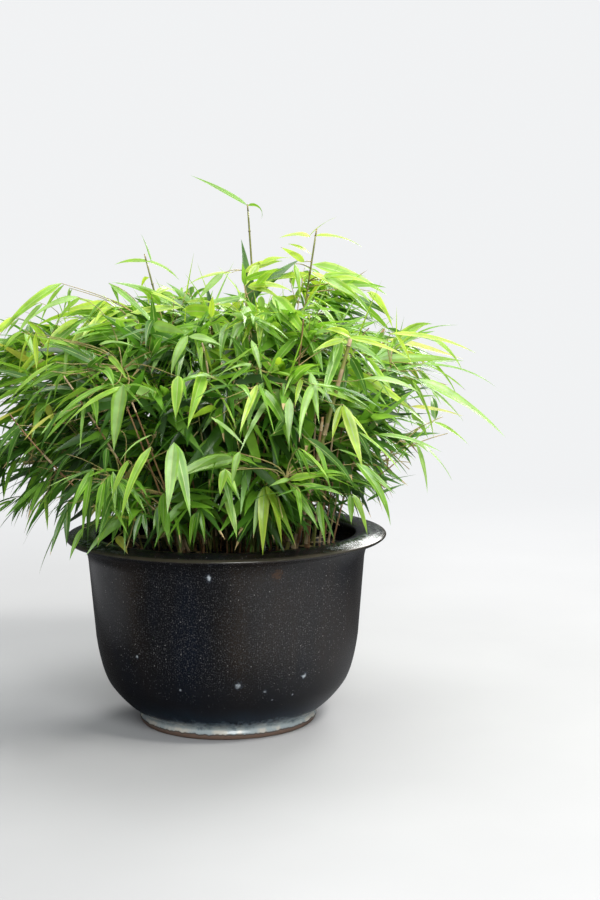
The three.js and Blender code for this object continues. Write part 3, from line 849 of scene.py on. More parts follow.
def turned(bunch, line, sides, wobble=0.0):
    """A solid of revolution from an outline that starts and ends on the axis."""
    angles = 2 * np.pi * np.arange(sides) / sides
    inner = line[1:-1]
    out_of_round = 1 + wobble * (np.sin(2 * angles + 0.7) + 0.5 * np.sin(3 * angles + 2))
    radius = inner[:, 0][:, None] * out_of_round[None, :]
    height = np.broadcast_to(inner[:, 1][:, None], radius.shape)
    rings = np.stack([radius * np.cos(angles), radius * np.sin(angles), height], axis=-1)
    bunch.add_rings(rings, np.array([[0, 0, line[0][1]], [0, 0, line[-1][1]]]))


# The pot and the soil.

def outline(parts, steps):
    """Distances and heights along an outline: straight to a point, or a bend with its control point first."""
    line = [parts[0]]
    for part in parts[1:]:
        if len(part) == 2:
            line.append(part)
            continue
        controls = [(*line[-1], 0), (part[0], part[1], 0), (part[2], part[3], 0)]
        line.extend((x, y) for x, y, _ in curve(controls, steps + 1)[1:])
    return np.array(line, float)


def make_pot():
    edge = POT_HEIGHT - LIP_FALL
    under = edge - LIP_THICKNESS
    line = outline(
        [
            (0, 0),
            (FOOT_RADIUS - 6, 0),
            (FOOT_RADIUS - 2, 0, FOOT_RADIUS - 1, 3),
            (FOOT_RADIUS + 1.5, FOOT_HEIGHT / 2, FOOT_RADIUS - FOOT_NOTCH + 1, FOOT_HEIGHT - 2),
            (FOOT_RADIUS - FOOT_NOTCH, FOOT_HEIGHT, FOOT_RADIUS - FOOT_NOTCH + 2, FOOT_HEIGHT + 2),
            (HIP_RADIUS - 16, FOOT_HEIGHT + 14, HIP_RADIUS, HIP_HEIGHT),
            (BELLY_RADIUS - 6, HIP_HEIGHT + 16, BELLY_RADIUS, BELLY_HEIGHT),
            (BELLY_RADIUS + 4, mix(BELLY_HEIGHT, NECK_HEIGHT, 0.5), NECK_RADIUS, NECK_HEIGHT),
            (NECK_RADIUS + 3, under, RIM_RADIUS - 4, under),
            (RIM_RADIUS + 4, under + 4, RIM_RADIUS - 7, edge),
            (NECK_RADIUS + 4, POT_HEIGHT + 2, MOUTH_RADIUS + 3, POT_HEIGHT - 5),
            (MOUTH_RADIUS, POT_HEIGHT - 10, MOUTH_RADIUS, NECK_HEIGHT),
            (BELLY_RADIUS - WALL, BELLY_HEIGHT),
            (HIP_RADIUS - WALL, HIP_HEIGHT + WALL),
            (FOOT_RADIUS, FLOOR_THICKNESS + WALL / 2),
            (FOOT_RADIUS - WALL, FLOOR_THICKNESS),
            (0, FLOOR_THICKNESS),
        ],
        POT_STEPS,
    )
    bunch = Bunch()
    turned(bunch, line, POT_SIDES, POT_WOBBLE)
    piece = bunch.mesh("glazed_pot", [glaze_material()])
    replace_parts(piece, "pot")


def soil_bumps(x, y):
    """How far the soil's top stands above its level at each place."""
    total = np.zeros_like(x)
    for rate, turn, size in SOIL_WAVES:
        total += size * np.sin(rate * (x * math.cos(turn) + y * math.sin(turn)) + 3 * turn)
        total += size * np.sin(rate * (y * math.cos(turn) - x * math.sin(turn)) * 1.3 + 5 * turn)
    return total * 0.5


def soil_fall(radius):
    """How far the soil's top has fallen at a distance from the axis."""
    return SOIL_FALL * np.clip((radius - SOIL_LEVEL_TO) / (SOIL_EDGE - SOIL_LEVEL_TO), 0, 1)


def make_soil():
    bottom = FLOOR_THICKNESS + GAP
    wall = [
        (0, bottom),
        (FOOT_RADIUS - WALL, bottom),
        (FOOT_RADIUS - SOIL_GAP, bottom + WALL / 2),
        (HIP_RADIUS - SOIL_INSET, HIP_HEIGHT + WALL),
        (BELLY_RADIUS - SOIL_INSET, BELLY_HEIGHT),
        (SOIL_EDGE, NECK_HEIGHT),
    ]
    top = [(SOIL_EDGE * (1 - (i / SOIL_RINGS) ** SOIL_RING_POWER), SOIL_HEIGHT) for i in range(SOIL_RINGS)]
    bunch = Bunch()
    turned(bunch, np.array(wall + top + [(0, SOIL_HEIGHT)]), SOIL_SIDES)
    points = bunch.points[0]
    on_top = points[:, 2] > NECK_HEIGHT + 1
    lift = soil_bumps(points[:, 0], points[:, 1]) - soil_fall(np.hypot(points[:, 0], points[:, 1]))
    points[:, 2] += np.where(on_top, lift, 0)
    chance = random.Random(SEEDS["soil"])
    for _ in range(CRUMBS):
        turn = chance.uniform(0, 2 * math.pi)
        radius = SOIL_EDGE * math.sqrt(chance.uniform(0, CRUMBS_WITHIN))
        place = around(turn, radius, SOIL_HEIGHT - float(soil_fall(radius)))
        place[2] += float(soil_bumps(place[:1], place[1:2])[0])
        add_crumb(bunch, place, chance.uniform(*CRUMB_SIZE), chance)
    piece = bunch.mesh("potting_soil", [plain_material("soil_dark")])
    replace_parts(piece, "soil")


def add_crumb(bunch, centre, size, chance):
    """A rough lump: an octahedron with each corner pulled in or out."""
    corners = [(1, 0, 0), (0, 1, 0), (-1, 0, 0), (0, -1, 0), (0, 0, 1), (0, 0, -1)]
    turn = chance.uniform(0, math.pi)
    points = []
    for corner in corners:
        point = turned_about(np.array(corner, float), UP, turn)
        points.append(point * size * chance.uniform(*CRUMB_ROUGHNESS))
    faces = [(0, 1, 4), (1, 2, 4), (2, 3, 4), (3, 0, 4), (1, 0, 5), (2, 1, 5), (3, 2, 5), (0, 3, 5)]
    bunch.add(centre + np.array(points), faces)


# The canes.

def all_clumps():
    """Each cane of the rings: its ring, its number there, its name, and the seed of what grows from it."""
    for number, ring in enumerate(RINGS):
        for index in range(ring["count"]):
            yield ring, index, f"{ring['name']}_{index + 1}", SEEDS["clumps"] * (number + 1) + index


def arching_line(turn, foot, tip, rise, lower_share):
    """A cane's curve: it sets off nearly upright, and its tip points out and up at an angle."""
    end = around(turn, math.cos(rise), math.sin(rise))
    span = np.linalg.norm(tip - foot)
    lower = foot + unit(around(turn, 0.2, 1)) * span * lower_share
    upper = tip - end * span * CANE_UPPER
    return {"turn": turn, "end": end, "controls": [foot, lower, upper, tip]}


def cane_line(ring, index):
    """The curve of a cane, the angle at which it stands round the pot, and the way that its tip points."""
    turn = math.radians(ring["turn"]) + 2 * math.pi * index / ring["count"]
    turn += CANE_WOBBLE["turn"] * math.sin(5.1 * index + ring["count"])
    foot = around(turn, ring["foot"] + CANE_WOBBLE["foot"] * math.sin(3.7 * index), GROUND)
    height = ring["height"] + CANE_WOBBLE["height"] * math.sin(4.3 * index + 2)
    tip = around(turn, ring["tip"] + CANE_WOBBLE["tip"] * math.sin(2.3 * index + 1), height)
    return arching_line(turn, foot, tip, math.radians(ring["rise"]), CANE_LOWER)


def shoot_line(shoot):
    foot = np.array([*shoot["foot"], GROUND], float)
    tip = np.array(shoot["tip"], float)
    middle = mix(foot, tip, 0.5) + np.array([shoot["bow"], 0, 0])
    return {"end": unit(tip - middle), "controls": [foot, middle, tip]}


def front_cane_line(foot, bend, tip):
    return [np.array([*foot, GROUND], float), np.array(bend, float), np.array(tip, float)]


def stem_line(line, length):
    """The curve that goes on from the tip of a cane, and droops a little."""
    start = line["controls"][-1] + line["end"] * GAP
    middle = start + line["end"] * length / 2
    end = middle + unit(line["end"] - STEM_DROOP * UP) * length / 2
    return [start, middle, end]


def node_places(length, chance):
    """How far up a cane its nodes are."""
    places = []
    place = chance.uniform(*FIRST_NODE)
    while place < length - NO_NODE_WITHIN:
        places.append(place)
        place += chance.uniform(*NODE_SPACING)
    return places


def add_cane(bunch, controls, radius, tint, chance, steps=CANE_STEPS, sides=CANE_SIDES, sheaths=SHEATH_SHARE):
    """A cane with a raised ring at each node and a papery sheath above some of them."""
    t = np.linspace(0, 1, steps + 1)
    points = bezier(controls, t)
    length = distances_along(points)
    nodes = node_places(length[-1], chance)
    beside_nodes = [[n + edge for edge in NODE_EDGES] for n in nodes]
    stations = sorted(set(np.round(np.concatenate([length, *beside_nodes]), 3)))
    stations = np.minimum([s for s in stations if 0 <= s < length[-1] + 0.01], length[-1])
    points = np.stack([np.interp(stations, length, points[:, i]) for i in range(3)], axis=1)
    radii = np.interp(stations, length, mix(*radius, t))
    marks = np.full(len(stations) - 1, tint)
    middle = (stations[1:] + stations[:-1]) / 2
    for node in nodes:
        radii = radii + NODE_BULGE * radius[0] * np.exp(-((stations - node) / NODE_REACH) ** 2)
        if chance.random() < sheaths:
            reach = chance.uniform(*SHEATH_LENGTH)
            radii = radii + np.where((stations > node) & (stations < node + reach), SHEATH_THICKNESS, 0)
            marks[(middle > node) & (middle < node + reach)] = SHEATH_MARK
        marks[np.abs(middle - node) < NODE_BAND] = NODE_MARK
    tube(bunch, points, radii, sides, marks)


def side_cane_line(line, ring, number, chance):
    """A thin cane that rises beside another, and ends to one side of it under the crown's top."""
    step = 2 * math.pi / ring["count"]
    astray = either_way(SIDE_CANE_ASTRAY, chance)
    turn = line["turn"] + step * ((number + 0.5) / SIDE_CANES - 0.5) + astray
    foot_radius = min(ring["foot"] + chance.uniform(*SIDE_CANE_FOOT), MOUTH_RADIUS - SIDE_FOOT_CLEAR)
    foot = around(line["turn"] + (turn - line["turn"]) * SIDE_FOOT_TURN, foot_radius, GROUND)
    tip_radius = ring["tip"] + ring["stem"] * chance.uniform(*SIDE_CANE_TIP)
    rise = math.radians(min(ring["rise"] + chance.uniform(*SIDE_CANE_RISE), STEEPEST))
    lowest = ring["height"] - SIDE_TIP_UNDER[0]
    highest = crown_top(tip_radius) - SIDE_TIP_UNDER[1]
    height = mix(lowest, highest, chance.uniform(*SIDE_CANE_HEIGHT))
    return arching_line(turn, foot, around(turn, tip_radius, height), rise, SIDE_CANE_LOWER)


def side_cane_lines(ring, index, seed):
    """The thin canes round one cane, always the same ones for the same seed."""
    chance = random.Random(SEEDS["side canes"] + seed)
    return [side_cane_line(cane_line(ring, index), ring, number, chance) for number in range(SIDE_CANES)]


# The crown.

def crown_top(radius):
    """How high the crown's main dome is at a distance from its middle."""
    dome = DOMES[0]
    share = min(radius / dome["radius"], 0.98)
    return dome["centre"][2] + dome["above"] * (1 - share ** dome["squareness"]) ** (1 / dome["squareness"])


def dome_depth(point, dome, spare):
    """0 in the middle of a dome, and 1 on its outline, pushed out by a spare length."""
    middle = dome["centre"]
    across = math.hypot(point[0] - middle[0], point[1] - middle[1]) / (dome["radius"] + spare)
    rise = point[2] - middle[2]
    high = rise / (dome["above"] + spare) if rise > 0 else -rise / (dome["below"] + spare)
    return (across ** dome["squareness"] + high ** dome["squareness"]) ** (1 / dome["squareness"])


def crown_depth(point, spare=0.0):
    return min(dome_depth(point, dome, spare) for dome in DOMES)


def in_crown(point, spare=0.0):
    return crown_depth(point, spare) < 1


def underside(point):
    """The lowest that the crown reaches at a place."""
    radius = math.hypot(point[0], point[1])
    if radius < MOUTH_RADIUS:
        return SOIL_HEIGHT + UNDERSIDE["soil"]
    right = point[0] / radius
    beyond = max(radius - RIM_RADIUS, 0)
    lift = UNDERSIDE["lift"] * max(right, 0) * beyond
    fall = UNDERSIDE["fall"] * max(-right, 0) * min(beyond / UNDERSIDE["fall_within"], 1)
    turn = math.atan2(point[1], point[0])
    uneven = UNEVEN * (0.1 + math.sin(3 * turn + 2.36) + 0.6 * math.sin(7 * turn + 1.31))
    return POT_HEIGHT + UNDERSIDE["slope"] * (radius - MOUTH_RADIUS) + lift - fall + uneven


def clear_of_pot(point, spare=2.0):
    if point[2] < underside(point):
        return False
    if point[2] > POT_HEIGHT + spare:
        return True
    radius = math.hypot(point[0], point[1])
    if radius > RIM_RADIUS + spare:
        return True
    return radius < MOUTH_RADIUS - spare and point[2] > SOIL_HEIGHT + spare


def lowness(point):
    """0 at the top of the crown, and 1 at its skirt."""
    return part_way(point[2], *LOW_OVER)


def outward(point):
    """The way out of the crown at a place."""
    return unit(np.array([point[0], point[1], OUTWARD_RISE * (point[2] - CROWN_HEART)]) + NUDGE)


def in_picture(points):
    """Where the camera sees points on the plane through the pot's axis, and how far behind it they lie."""
    camera = np.array(CAMERA_PLACE) / MM
    ways = points - camera
    scale = -camera[1] / ways[:, 1]
    return np.stack([ways[:, 0] * scale, ways[:, 2] * scale, points[:, 1]], axis=1)


class Crown:
    """What has grown so far: the leaves, the twigs, and a grid of points that later leaves keep away from."""

    def __init__(self):
        self.leaves = []
        self.twigs = []
        self.side_canes = []
        self.grid = {}
        self.clump = ""
        self.shown = np.zeros((0, 4))

    def key(self, point):
        return tuple((point // LEAF_APART).astype(int))

    def is_apart(self, points):
        """Whether none of these points is near one that is kept."""
        for point in points:
            for cell in itertools.product(*[(i - 1, i, i + 1) for i in self.key(point)]):
                for other in self.grid.get(cell, ()):
                    if math.dist(other, point) < LEAF_APART:
                        return False
        return True

    def keep(self, points):
        for point in points:
            self.grid.setdefault(self.key(point), []).append(tuple(point))

    def show(self, points, width):
        """Keeps the view from the camera free on these points, and to this width beside them."""
        seen = in_picture(np.array(points))
        self.shown = np.concatenate([self.shown, np.column_stack([seen, np.full(len(seen), width)])])

    def hides_a_fan(self, points):
        """Whether one of these points lies in front of one that is shown."""
        if not len(self.shown):
            return False
        seen = in_picture(np.array(points))
        apart = np.hypot(*(seen[:, None, :2] - self.shown[None, :, :2]).transpose(2, 0, 1))
        near = apart < self.shown[None, :, 3]
        return bool(np.any(near & (seen[:, None, 2] < self.shown[None, :, 2])))

    def add_twig(self, points, radii, sides):
        self.twigs.append({"points": points, "radii": radii, "sides": sides})


def pick_tint(place, chance):
    """A tint for a spray, with light and shade painted in: the lighter tints go where the crown's top and
    outline catch the light, and deep and shade tints are painted shade inside the crown, low down and at its
    left.
    """
    depth = min(crown_depth(place), 1)
    high = 1 - lowness(place)
    # The left side gets painted shade, less of it near the top.
    left = part_way(place[0], *LEFT_SHADE_OVER) * min(2 * (1 - high), 1)
    bright = (0.42 * high + 0.55 * depth ** 3) * (1 - LEFT_PAINTED_SHADE * left)
    # The weight of the shade tint: painted shade deep inside the crown.
    inside = max(0.82 - depth, 0) * 6
    lime = 0.75 * high ** 2 * bright ** 2
    # One weight for each tint, in their order.
    weights = (lime, 0.1 + 0.7 * bright, 1.3, 0.2 + 1.6 * (1 - bright), 0.45 * bright, 0.03, inside)
    return chance.choices(range(len(TINTS)), weights=weights)[0]


def leaf_spine(root, along, length, bend):
    """Points along the middle of a leaf that bends towards the ground."""
    down = -UP + along * along[2]
    pull = np.linalg.norm(down)
    down = down / max(pull, 1e-6)
    points = []
    for t in SPINE_AT:
        turn = bend * pull * t / 2
        points.append(root + length * t * (along * math.cos(turn) + down * math.sin(turn)))
    return points


def add_leaf(crown, root, along, length, width, bend, tint, chance, **other):
    """Notes a leaf, to be made later. Its upper face turns to the sky and a little outwards."""
    leaf = {
        "root": root,
        "along": along,
        "normal": unit(UP + LEAF_OUTWARD * outward(root) + NUDGE),
        "roll": math.radians(chance.gauss(0, LEAF_ROLL)),
        "length": length,
        "width": width,
        "bend": bend,
        "twist": math.radians(chance.gauss(0, LEAF_TWIST)),
        "sickle": chance.gauss(0, LEAF_SICKLE),
        "tint": tint,
        "dry": chance.random() < DRY_SHARE,
        "fold": FOLD * chance.uniform(*FOLD_VARIES),
        "phase": chance.uniform(0, 2 * math.pi),
        "fine": crown_depth(root) > FINE_BEYOND,
        "clump": crown.clump,
    }
    leaf.update(other)
    crown.leaves.append(leaf)


def has_room(crown, spine, limit, spare):
    """Whether a leaf with this spine stays in the crown, clear of the pot and of what has grown."""
    if not in_crown(spine[-1], limit) or not in_crown(spine[1], spare):
        return False
    if math.hypot(spine[-1][0] - DOMES[0]["centre"][0], spine[-1][1]) > CROWN_REACH:
        return False
    if not all(clear_of_pot(point) for point in spine):
        return False
    return crown.is_apart(spine[1:]) and not crown.hides_a_fan(spine[1:])


def grow_leaf(crown, root, heading, opened, droop, size, tint, chance, spare=0.0):
    """One leaf of a fan, at the first tilt and size that has room. Returns whether it grew."""
    for scale in LEAF_SIZES:
        level = turned_about(heading, UP, math.radians(opened + either_way(LEAF_ASTRAY, chance)))
        fall = droop + math.radians(either_way(LEAF_TILT, chance))
        along = level * math.cos(fall) - UP * math.sin(fall)
        length = chance.triangular(*LEAF_LENGTH) * scale * size
        bend = chance.triangular(*LEAF_BEND)
        spine = leaf_spine(root, along, length, bend)
        ragged = mix(*RAGGED, part_way(root[0], *RAGGED_OVER))
        limit = spare + OVERSHOOT - ragged * chance.random() ** 2
        if chance.random() < STRAY_SHARE and lowness(root) < STRAY_UNDER:
            limit += STRAY_REACH
        if not has_room(crown, spine, limit, spare):
            continue
        crown.keep(spine[1:])
        slender = chance.uniform(*LEAF_SLENDER)
        slender *= mix(1, SLIMMER_RIGHT, part_way(root[0], *SLIMMER_OVER))
        if chance.random() < NARROW_SHARE:
            slender *= NARROW
        add_leaf(crown, root, along, length, length * slender, bend, tint, chance)
        return True
    return False


def grow_fan(crown, end, way, chance):
    """A fan of leaves at the end of a twig: by turns to its left and right, and the last one straight on."""
    count = chance.randint(*LEAVES_PER_FAN)
    if crown_depth(end) < INNER_DEPTH and chance.random() < INNER_LEFT_OUT:
        return 0
    if chance.random() < OPEN_SHARE * part_way(end[0], *OPEN_OVER):
        return 0
    low = lowness(end)
    droop = math.radians(mix(chance.uniform(*DROOP_AT_TOP), chance.uniform(*DROOP_AT_FOOT), low ** 1.5))
    out = unit(np.array([end[0], end[1], 0]) + NUDGE)
    heading = np.array([way[0], way[1], 0]) + FAN_OUTWARD * out
    if np.linalg.norm(heading) < 0.2:
        heading = out
    heading = unit(heading)
    size = mix(*SIZE_BY_HEIGHT, low) * mix(1, SIZE_RIGHT, part_way(end[0], *SIZE_OVER))
    tint = pick_tint(end, chance)
    grown = 0
    for k in range(count):
        back = count - 1 - k
        opened = mix(*LEAF_OPEN, back / max(count - 1, 1))
        if back == 0:
            opened = either_way(LAST_ASTRAY, chance)
        elif k % 2:
            opened = -opened
        root = end - way * LEAF_SPACING * back
        own = tint if chance.random() < OWN_TINT else pick_tint(end, chance)
        grown += grow_leaf(crown, root, heading, opened, droop, size, own, chance)
    return grown


def grow_front_fan(crown, fan, paths, chance):
    """A large fan at a listed place, on a twig that comes to it from the nearest stem."""
    place, tint_name, *leaves = fan
    root = np.array(place, float)
    out = unit(np.array([root[0], root[1], 0]))
    inward = unit(out + 0.3 * UP)
    tint = list(TINTS).index(tint_name)
    facing = FAN_FACING * float(np.interp(root[2], FAN_FACING_OVER, (0, 1)))
    for number, (angle, length, width) in enumerate(leaves):
        turn = math.radians(angle)
        in_plane = np.array([math.sin(turn), 0, -math.cos(turn)])
        along = unit(in_plane + chance.uniform(*FAN_REACH) * out)
        foot = root - inward * FAN_SPACING * number
        bend = chance.uniform(*FAN_BEND)
        spine = leaf_spine(foot, along, length, bend)
        crown.keep(spine[1:])
        crown.show(spine, FAN_VIEW)
        roll = math.radians(chance.gauss(0, FAN_ROLL) - facing * math.sin(turn))
        own = tint
        if number > 0 and chance.random() >= FAN_OWN_TINT:
            own = chance.choice(OTHER_TINTS[tint_name])
        add_leaf(crown, foot, along, length, width, bend, own, chance, fine=True, roll=roll)
    above = FAN_FROM_ABOVE * np.maximum(paths[:, 2] - root[2], 0)
    start = paths[np.argmin(np.linalg.norm(root - paths, axis=1) + above)]
    span = np.linalg.norm(root - start)
    controls = [start, start + UP * FAN_TWIG_RISE * span, root - inward * FAN_TWIG_STRAIGHT * span, root]
    if crown.clump == "shoots":
        along, up = FAN_TWIG_ON_SHOOT
        controls = [start, mix(start, root, along) + UP * up * span, root]
    crown.add_twig(curve(controls, 9), (BOUGH_RADIUS[0], TWIG_RADIUS[1]), BOUGH_SIDES)


def grow_front_fans(crown):
    """The large fans, each counted to the mass whose stem or cane carries it."""
    chance = random.Random(SEEDS["fans"])
    owners = {}
    for ring, index, name, _ in all_clumps():
        line = cane_line(ring, index)
        upper = curve(line["controls"], 12, BOUGH_START)
        stem = curve(stem_line(line, ring["stem"]), 8)
        owners[name] = np.concatenate([upper, stem])
    tips = [curve(shoot_line(shoot)["controls"], 16, SHOWN_UPPER) for shoot in SHOOTS]
    owners["shoots"] = np.concatenate(tips)
    for fan in FRONT_FANS:
        root = np.array(fan[0], float)
        crown.clump = min(owners, key=lambda owner: np.min(np.linalg.norm(owners[owner] - root, axis=1)))
        grow_front_fan(crown, fan, owners[crown.clump], chance)


def show_side_canes(crown):
    """Keeps the view free on some of the thin canes at the front, and on the listed front canes."""
    for ring, index, _, seed in all_clumps():
        for line in side_cane_lines(ring, index, seed)[::SHOWN_EVERY]:
            points = curve(line["controls"], 30, *SHOWN_MIDDLE)
            if points[-1][1] < 0:
                crown.show(points, SIDE_CANE_VIEW)
    for foot, bend, tip, radius, _ in FRONT_CANES:
        points = curve(front_cane_line(foot, bend, tip), 18, SHOWN_UPPER)
        crown.show(points, FRONT_CANE_VIEW + radius[0])


def grow_rolled_leaf(crown, start, way, chance):
    """A leaf that is still rolled up, and stands out of the tip of a cane."""
    sideways = np.array([chance.gauss(0, ROLLED_ASTRAY), chance.gauss(0, ROLLED_ASTRAY), 0])
    along = unit(way + ROLLED_RISE * UP + sideways)
    length = chance.uniform(*ROLLED_LENGTH)
    bend = chance.uniform(*ROLLED_BEND)
    spine = leaf_spine(start, along, length, bend)
    if not in_crown(spine[-1], ROLLED_OVERSHOOT) or not crown.is_apart(spine[1:]):
        return
    crown.keep(spine[1:])
    tint = chance.choice(ROLLED_TINTS)
    width = length * ROLLED_SLENDER
    add_leaf(crown, start, along, length, width, bend, tint, chance, **ROLLED_FORM)


def arched(start, way, length, sag):
    """Points along a twig that turns to the light and sags, and the way that its end points."""
    points = [start]
    step = length / TWIG_STEPS
    weight = sag * mix(*SAG, lowness(start))
    for _ in range(TWIG_STEPS):
        pull = (LIGHT_SEEKING * outward(points[-1]) - weight * UP) / TWIG_STEPS
        way = unit(way + pull)
        points.append(points[-1] + way * step)
    return np.array(points), way


def side_way(way, number, opening, chance):
    """The way of the twig with this number along a stem that goes this way."""
    level = unit(np.cross(way, UP) + NUDGE)
    start = turned_about(way, level, math.radians(chance.uniform(*opening)))
    return turned_about(start, way, math.radians(TWIG_TURN * number + either_way(TWIG_ASTRAY, chance)))


def place_on(points, place):
    """The point at a place along points, counted in their number, and the way that they go there."""
    low = int(place)
    return mix(points[low], points[low + 1], place - low), unit(points[low + 1] - points[low])


def grow_twig(crown, joint, way, chance):
    """A twig that ends in a fan of leaves, if that has room."""
    points, end_way = arched(joint, way, chance.uniform(*TWIG_LENGTH), TWIG_SAG)
    if not in_crown(points[-1], TWIG_INSIDE) or not all(clear_of_pot(point, TWIG_CLEAR) for point in points):
        return
    if grow_fan(crown, points[-1], end_way, chance) >= 2:
        crown.add_twig(points, TWIG_RADIUS, TWIG_SIDES)


def grow_bough(crown, joint, way, chance):
    """A bough: twigs all along it, and a fan of leaves at its end."""
    points, _ = arched(joint, way, chance.uniform(*BOUGH_LENGTH), BOUGH_SAG)
    while len(points) > 3:
        if in_crown(points[-1], BOUGH_INSIDE) and clear_of_pot(points[-1], BOUGH_END_CLEAR):
            break
        points = points[:-1]
    if len(points) < 4 or not all(clear_of_pot(point, BOUGH_CLEAR) for point in points):
        return
    for number in range(TWIGS_PER_BOUGH):
        start, stretch = place_on(points, (number + 1) / (TWIGS_PER_BOUGH + 0.5) * (len(points) - 1))
        grow_twig(crown, start, side_way(stretch, number, TWIG_OPEN, chance), chance)
    grow_fan(crown, points[-1], unit(points[-1] - points[-2]), chance)
    crown.add_twig(points, BOUGH_RADIUS, BOUGH_SIDES)


def grow_clump(crown, ring, index, name, seed):
    """All that grows from one cane: the stem that goes on from its tip, and the boughs on both."""
    chance = random.Random(seed)
    crown.clump = name
    line = cane_line(ring, index)
    stem = stem_line(line, ring["stem"])
    path = np.concatenate([curve(line["controls"], 12, BOUGH_START, 0.98), curve(stem, 12)])
    for number in range(ring["boughs"]):
        start, stretch = place_on(path, (number + 0.6) / ring["boughs"] * (len(path) - 1.01))
        grow_bough(crown, start, side_way(stretch, number, BOUGH_OPEN, chance), chance)
    grow_bough(crown, path[-1], unit(path[-1] - path[-2]), chance)
    crown.add_twig(curve(stem, 8), (CANE_RADIUS[1], STEM_TIP_RADIUS), STEM_SIDES)
    for side_line in side_cane_lines(ring, index, seed):
        grow_side_cane(crown, side_line, chance)


def grow_side_cane(crown, line, chance):
    """The twigs along the upper part of a thin side cane, and the fan at its tip."""
    points = curve(line["controls"], 25)
    length = distances_along(points)
    place = length[-1] * chance.uniform(*SIDE_TWIGS_FROM)
    number = chance.randint(0, 9)
    while place < length[-1]:
        low = min(int(np.searchsorted(length, place)) - 1, len(points) - 2)
        start = mix(points[low], points[low + 1], (place - length[low]) / (length[low + 1] - length[low]))
        way = side_way(unit(points[low + 1] - points[low]), number, TWIG_OPEN, chance)
        grow_twig(crown, start, way, chance)
        place += chance.uniform(*SIDE_TWIG_SPACING)
        number += 1
    end_way = unit(points[-1] - points[-2])
    if chance.random() < ROLLED_SHARE:
        grow_rolled_leaf(crown, points[-1], end_way, chance)
    grow_fan(crown, points[-1], end_way, chance)
    crown.side_canes.append(line["controls"])


def grow_shoot(crown, index):
    """The few leaves at the tip of a shoot: those of the source on the tallest, and fans on the others."""
    chance = random.Random(SEEDS["shoots"] + index)
    crown.clump = "shoots"
    line = shoot_line(SHOOTS[index])
    tip, end = line["controls"][-1], line["end"]
    stem = [tip + end * GAP, tip + end * SHOOT_STEM]
    if index == 0:
        root = tip + end * (SHOOT_STEM - 2)
        for leaf in SHOOT_LEAVES:
            along = unit(np.array(leaf["along"]))
            size = leaf["length"], leaf["width"], leaf["bend"]
            add_leaf(crown, root, along, *size, SHOOT_TINT, chance, **SHOOT_FORM)
    else:
        grow_rolled_leaf(crown, stem[-1], end, chance)
        path = bezier(line["controls"], SHOOT_FANS_AT)
        for place, next_place in zip(path, path[1:]):
            way = side_way(unit(next_place - place), chance.randint(0, 9), TWIG_OPEN, chance)
            heading = unit(np.array([way[0], way[1], 0]))
            grow_leaf(crown, place, heading, 0, SHOOT_DROOP, SHOOT_LEAF_SIZE, 0, chance, SHOOT_SPARE)
    crown.add_twig(np.array(stem), (SHOOT_RADIUS[1], SHOOT_RADIUS[1] * 0.8), STEM_SIDES)


def grow_crown():
    crown = Crown()
    grow_front_fans(crown)
    show_side_canes(crown)
    for index in range(len(SHOOTS)):
        grow_shoot(crown, index)
    for clump in all_clumps():
        grow_clump(crown, *clump)
    return crown


# The meshes of the leaves.

def leaf_width(t):
    """The half width of a leaf along its length, as a share of its greatest."""
    rising = np.clip((t - STALK_END) / (LEAF_WIDEST - STALK_END), 0, 1)
    base = LEAF_STALK + (1 - LEAF_STALK) * (1 - (1 - rising) ** BASE_POWERS[0]) ** BASE_POWERS[1]
    past = np.clip((t - LEAF_WIDEST) / (1 - LEAF_WIDEST), 0, 1)
    return np.where(t <= LEAF_WIDEST, base, (1 - past ** TIP_POWERS[0]) ** TIP_POWERS[1])


def unit_rows(vectors):
    return vectors / np.linalg.norm(vectors, axis=-1, keepdims=True)


def leaf_middles(leaves, t):
    """Points along the middles of these leaves, with the ways across each and out of its upper face."""
    root, along, normal = leaves["root"], leaves["along"], leaves["normal"]
    down = -UP + along * along[:, 2:3]
    pull = np.linalg.norm(down, axis=1, keepdims=True)
    down = down / np.maximum(pull, 1e-6)
    across = unit_rows(np.cross(along, normal))
    upper = np.cross(across, along)
    roll = leaves["roll"][:, None]
    across = across * np.cos(roll) + upper * np.sin(roll)
    angle = (leaves["bend"] * pull[:, 0])[:, None] * t[None, :] ** BEND_POWER
    ways = along[:, None] * np.cos(angle)[..., None] + down[:, None] * np.sin(angle)[..., None]
    ways = unit_rows(ways + across[:, None] * (leaves["sickle"][:, None] * t[None, :])[..., None])
    lengths = np.diff(t)[None, :, None] * leaves["length"][:, None, None]
    steps = (ways[:, 1:] + ways[:, :-1]) / 2 * lengths
    middle = root[:, None] + np.concatenate([np.zeros((len(root), 1, 3)), np.cumsum(steps, axis=1)], axis=1)
    side = unit_rows(across[:, None] - ways * np.sum(across[:, None] * ways, axis=-1, keepdims=True))
    lift = np.cross(side, ways)
    turn = (leaves["twist"][:, None] * t[None, :])[..., None]
    cosine, sine = np.cos(turn), np.sin(turn)
    return middle, side * cosine + lift * sine, lift * cosine - side * sine


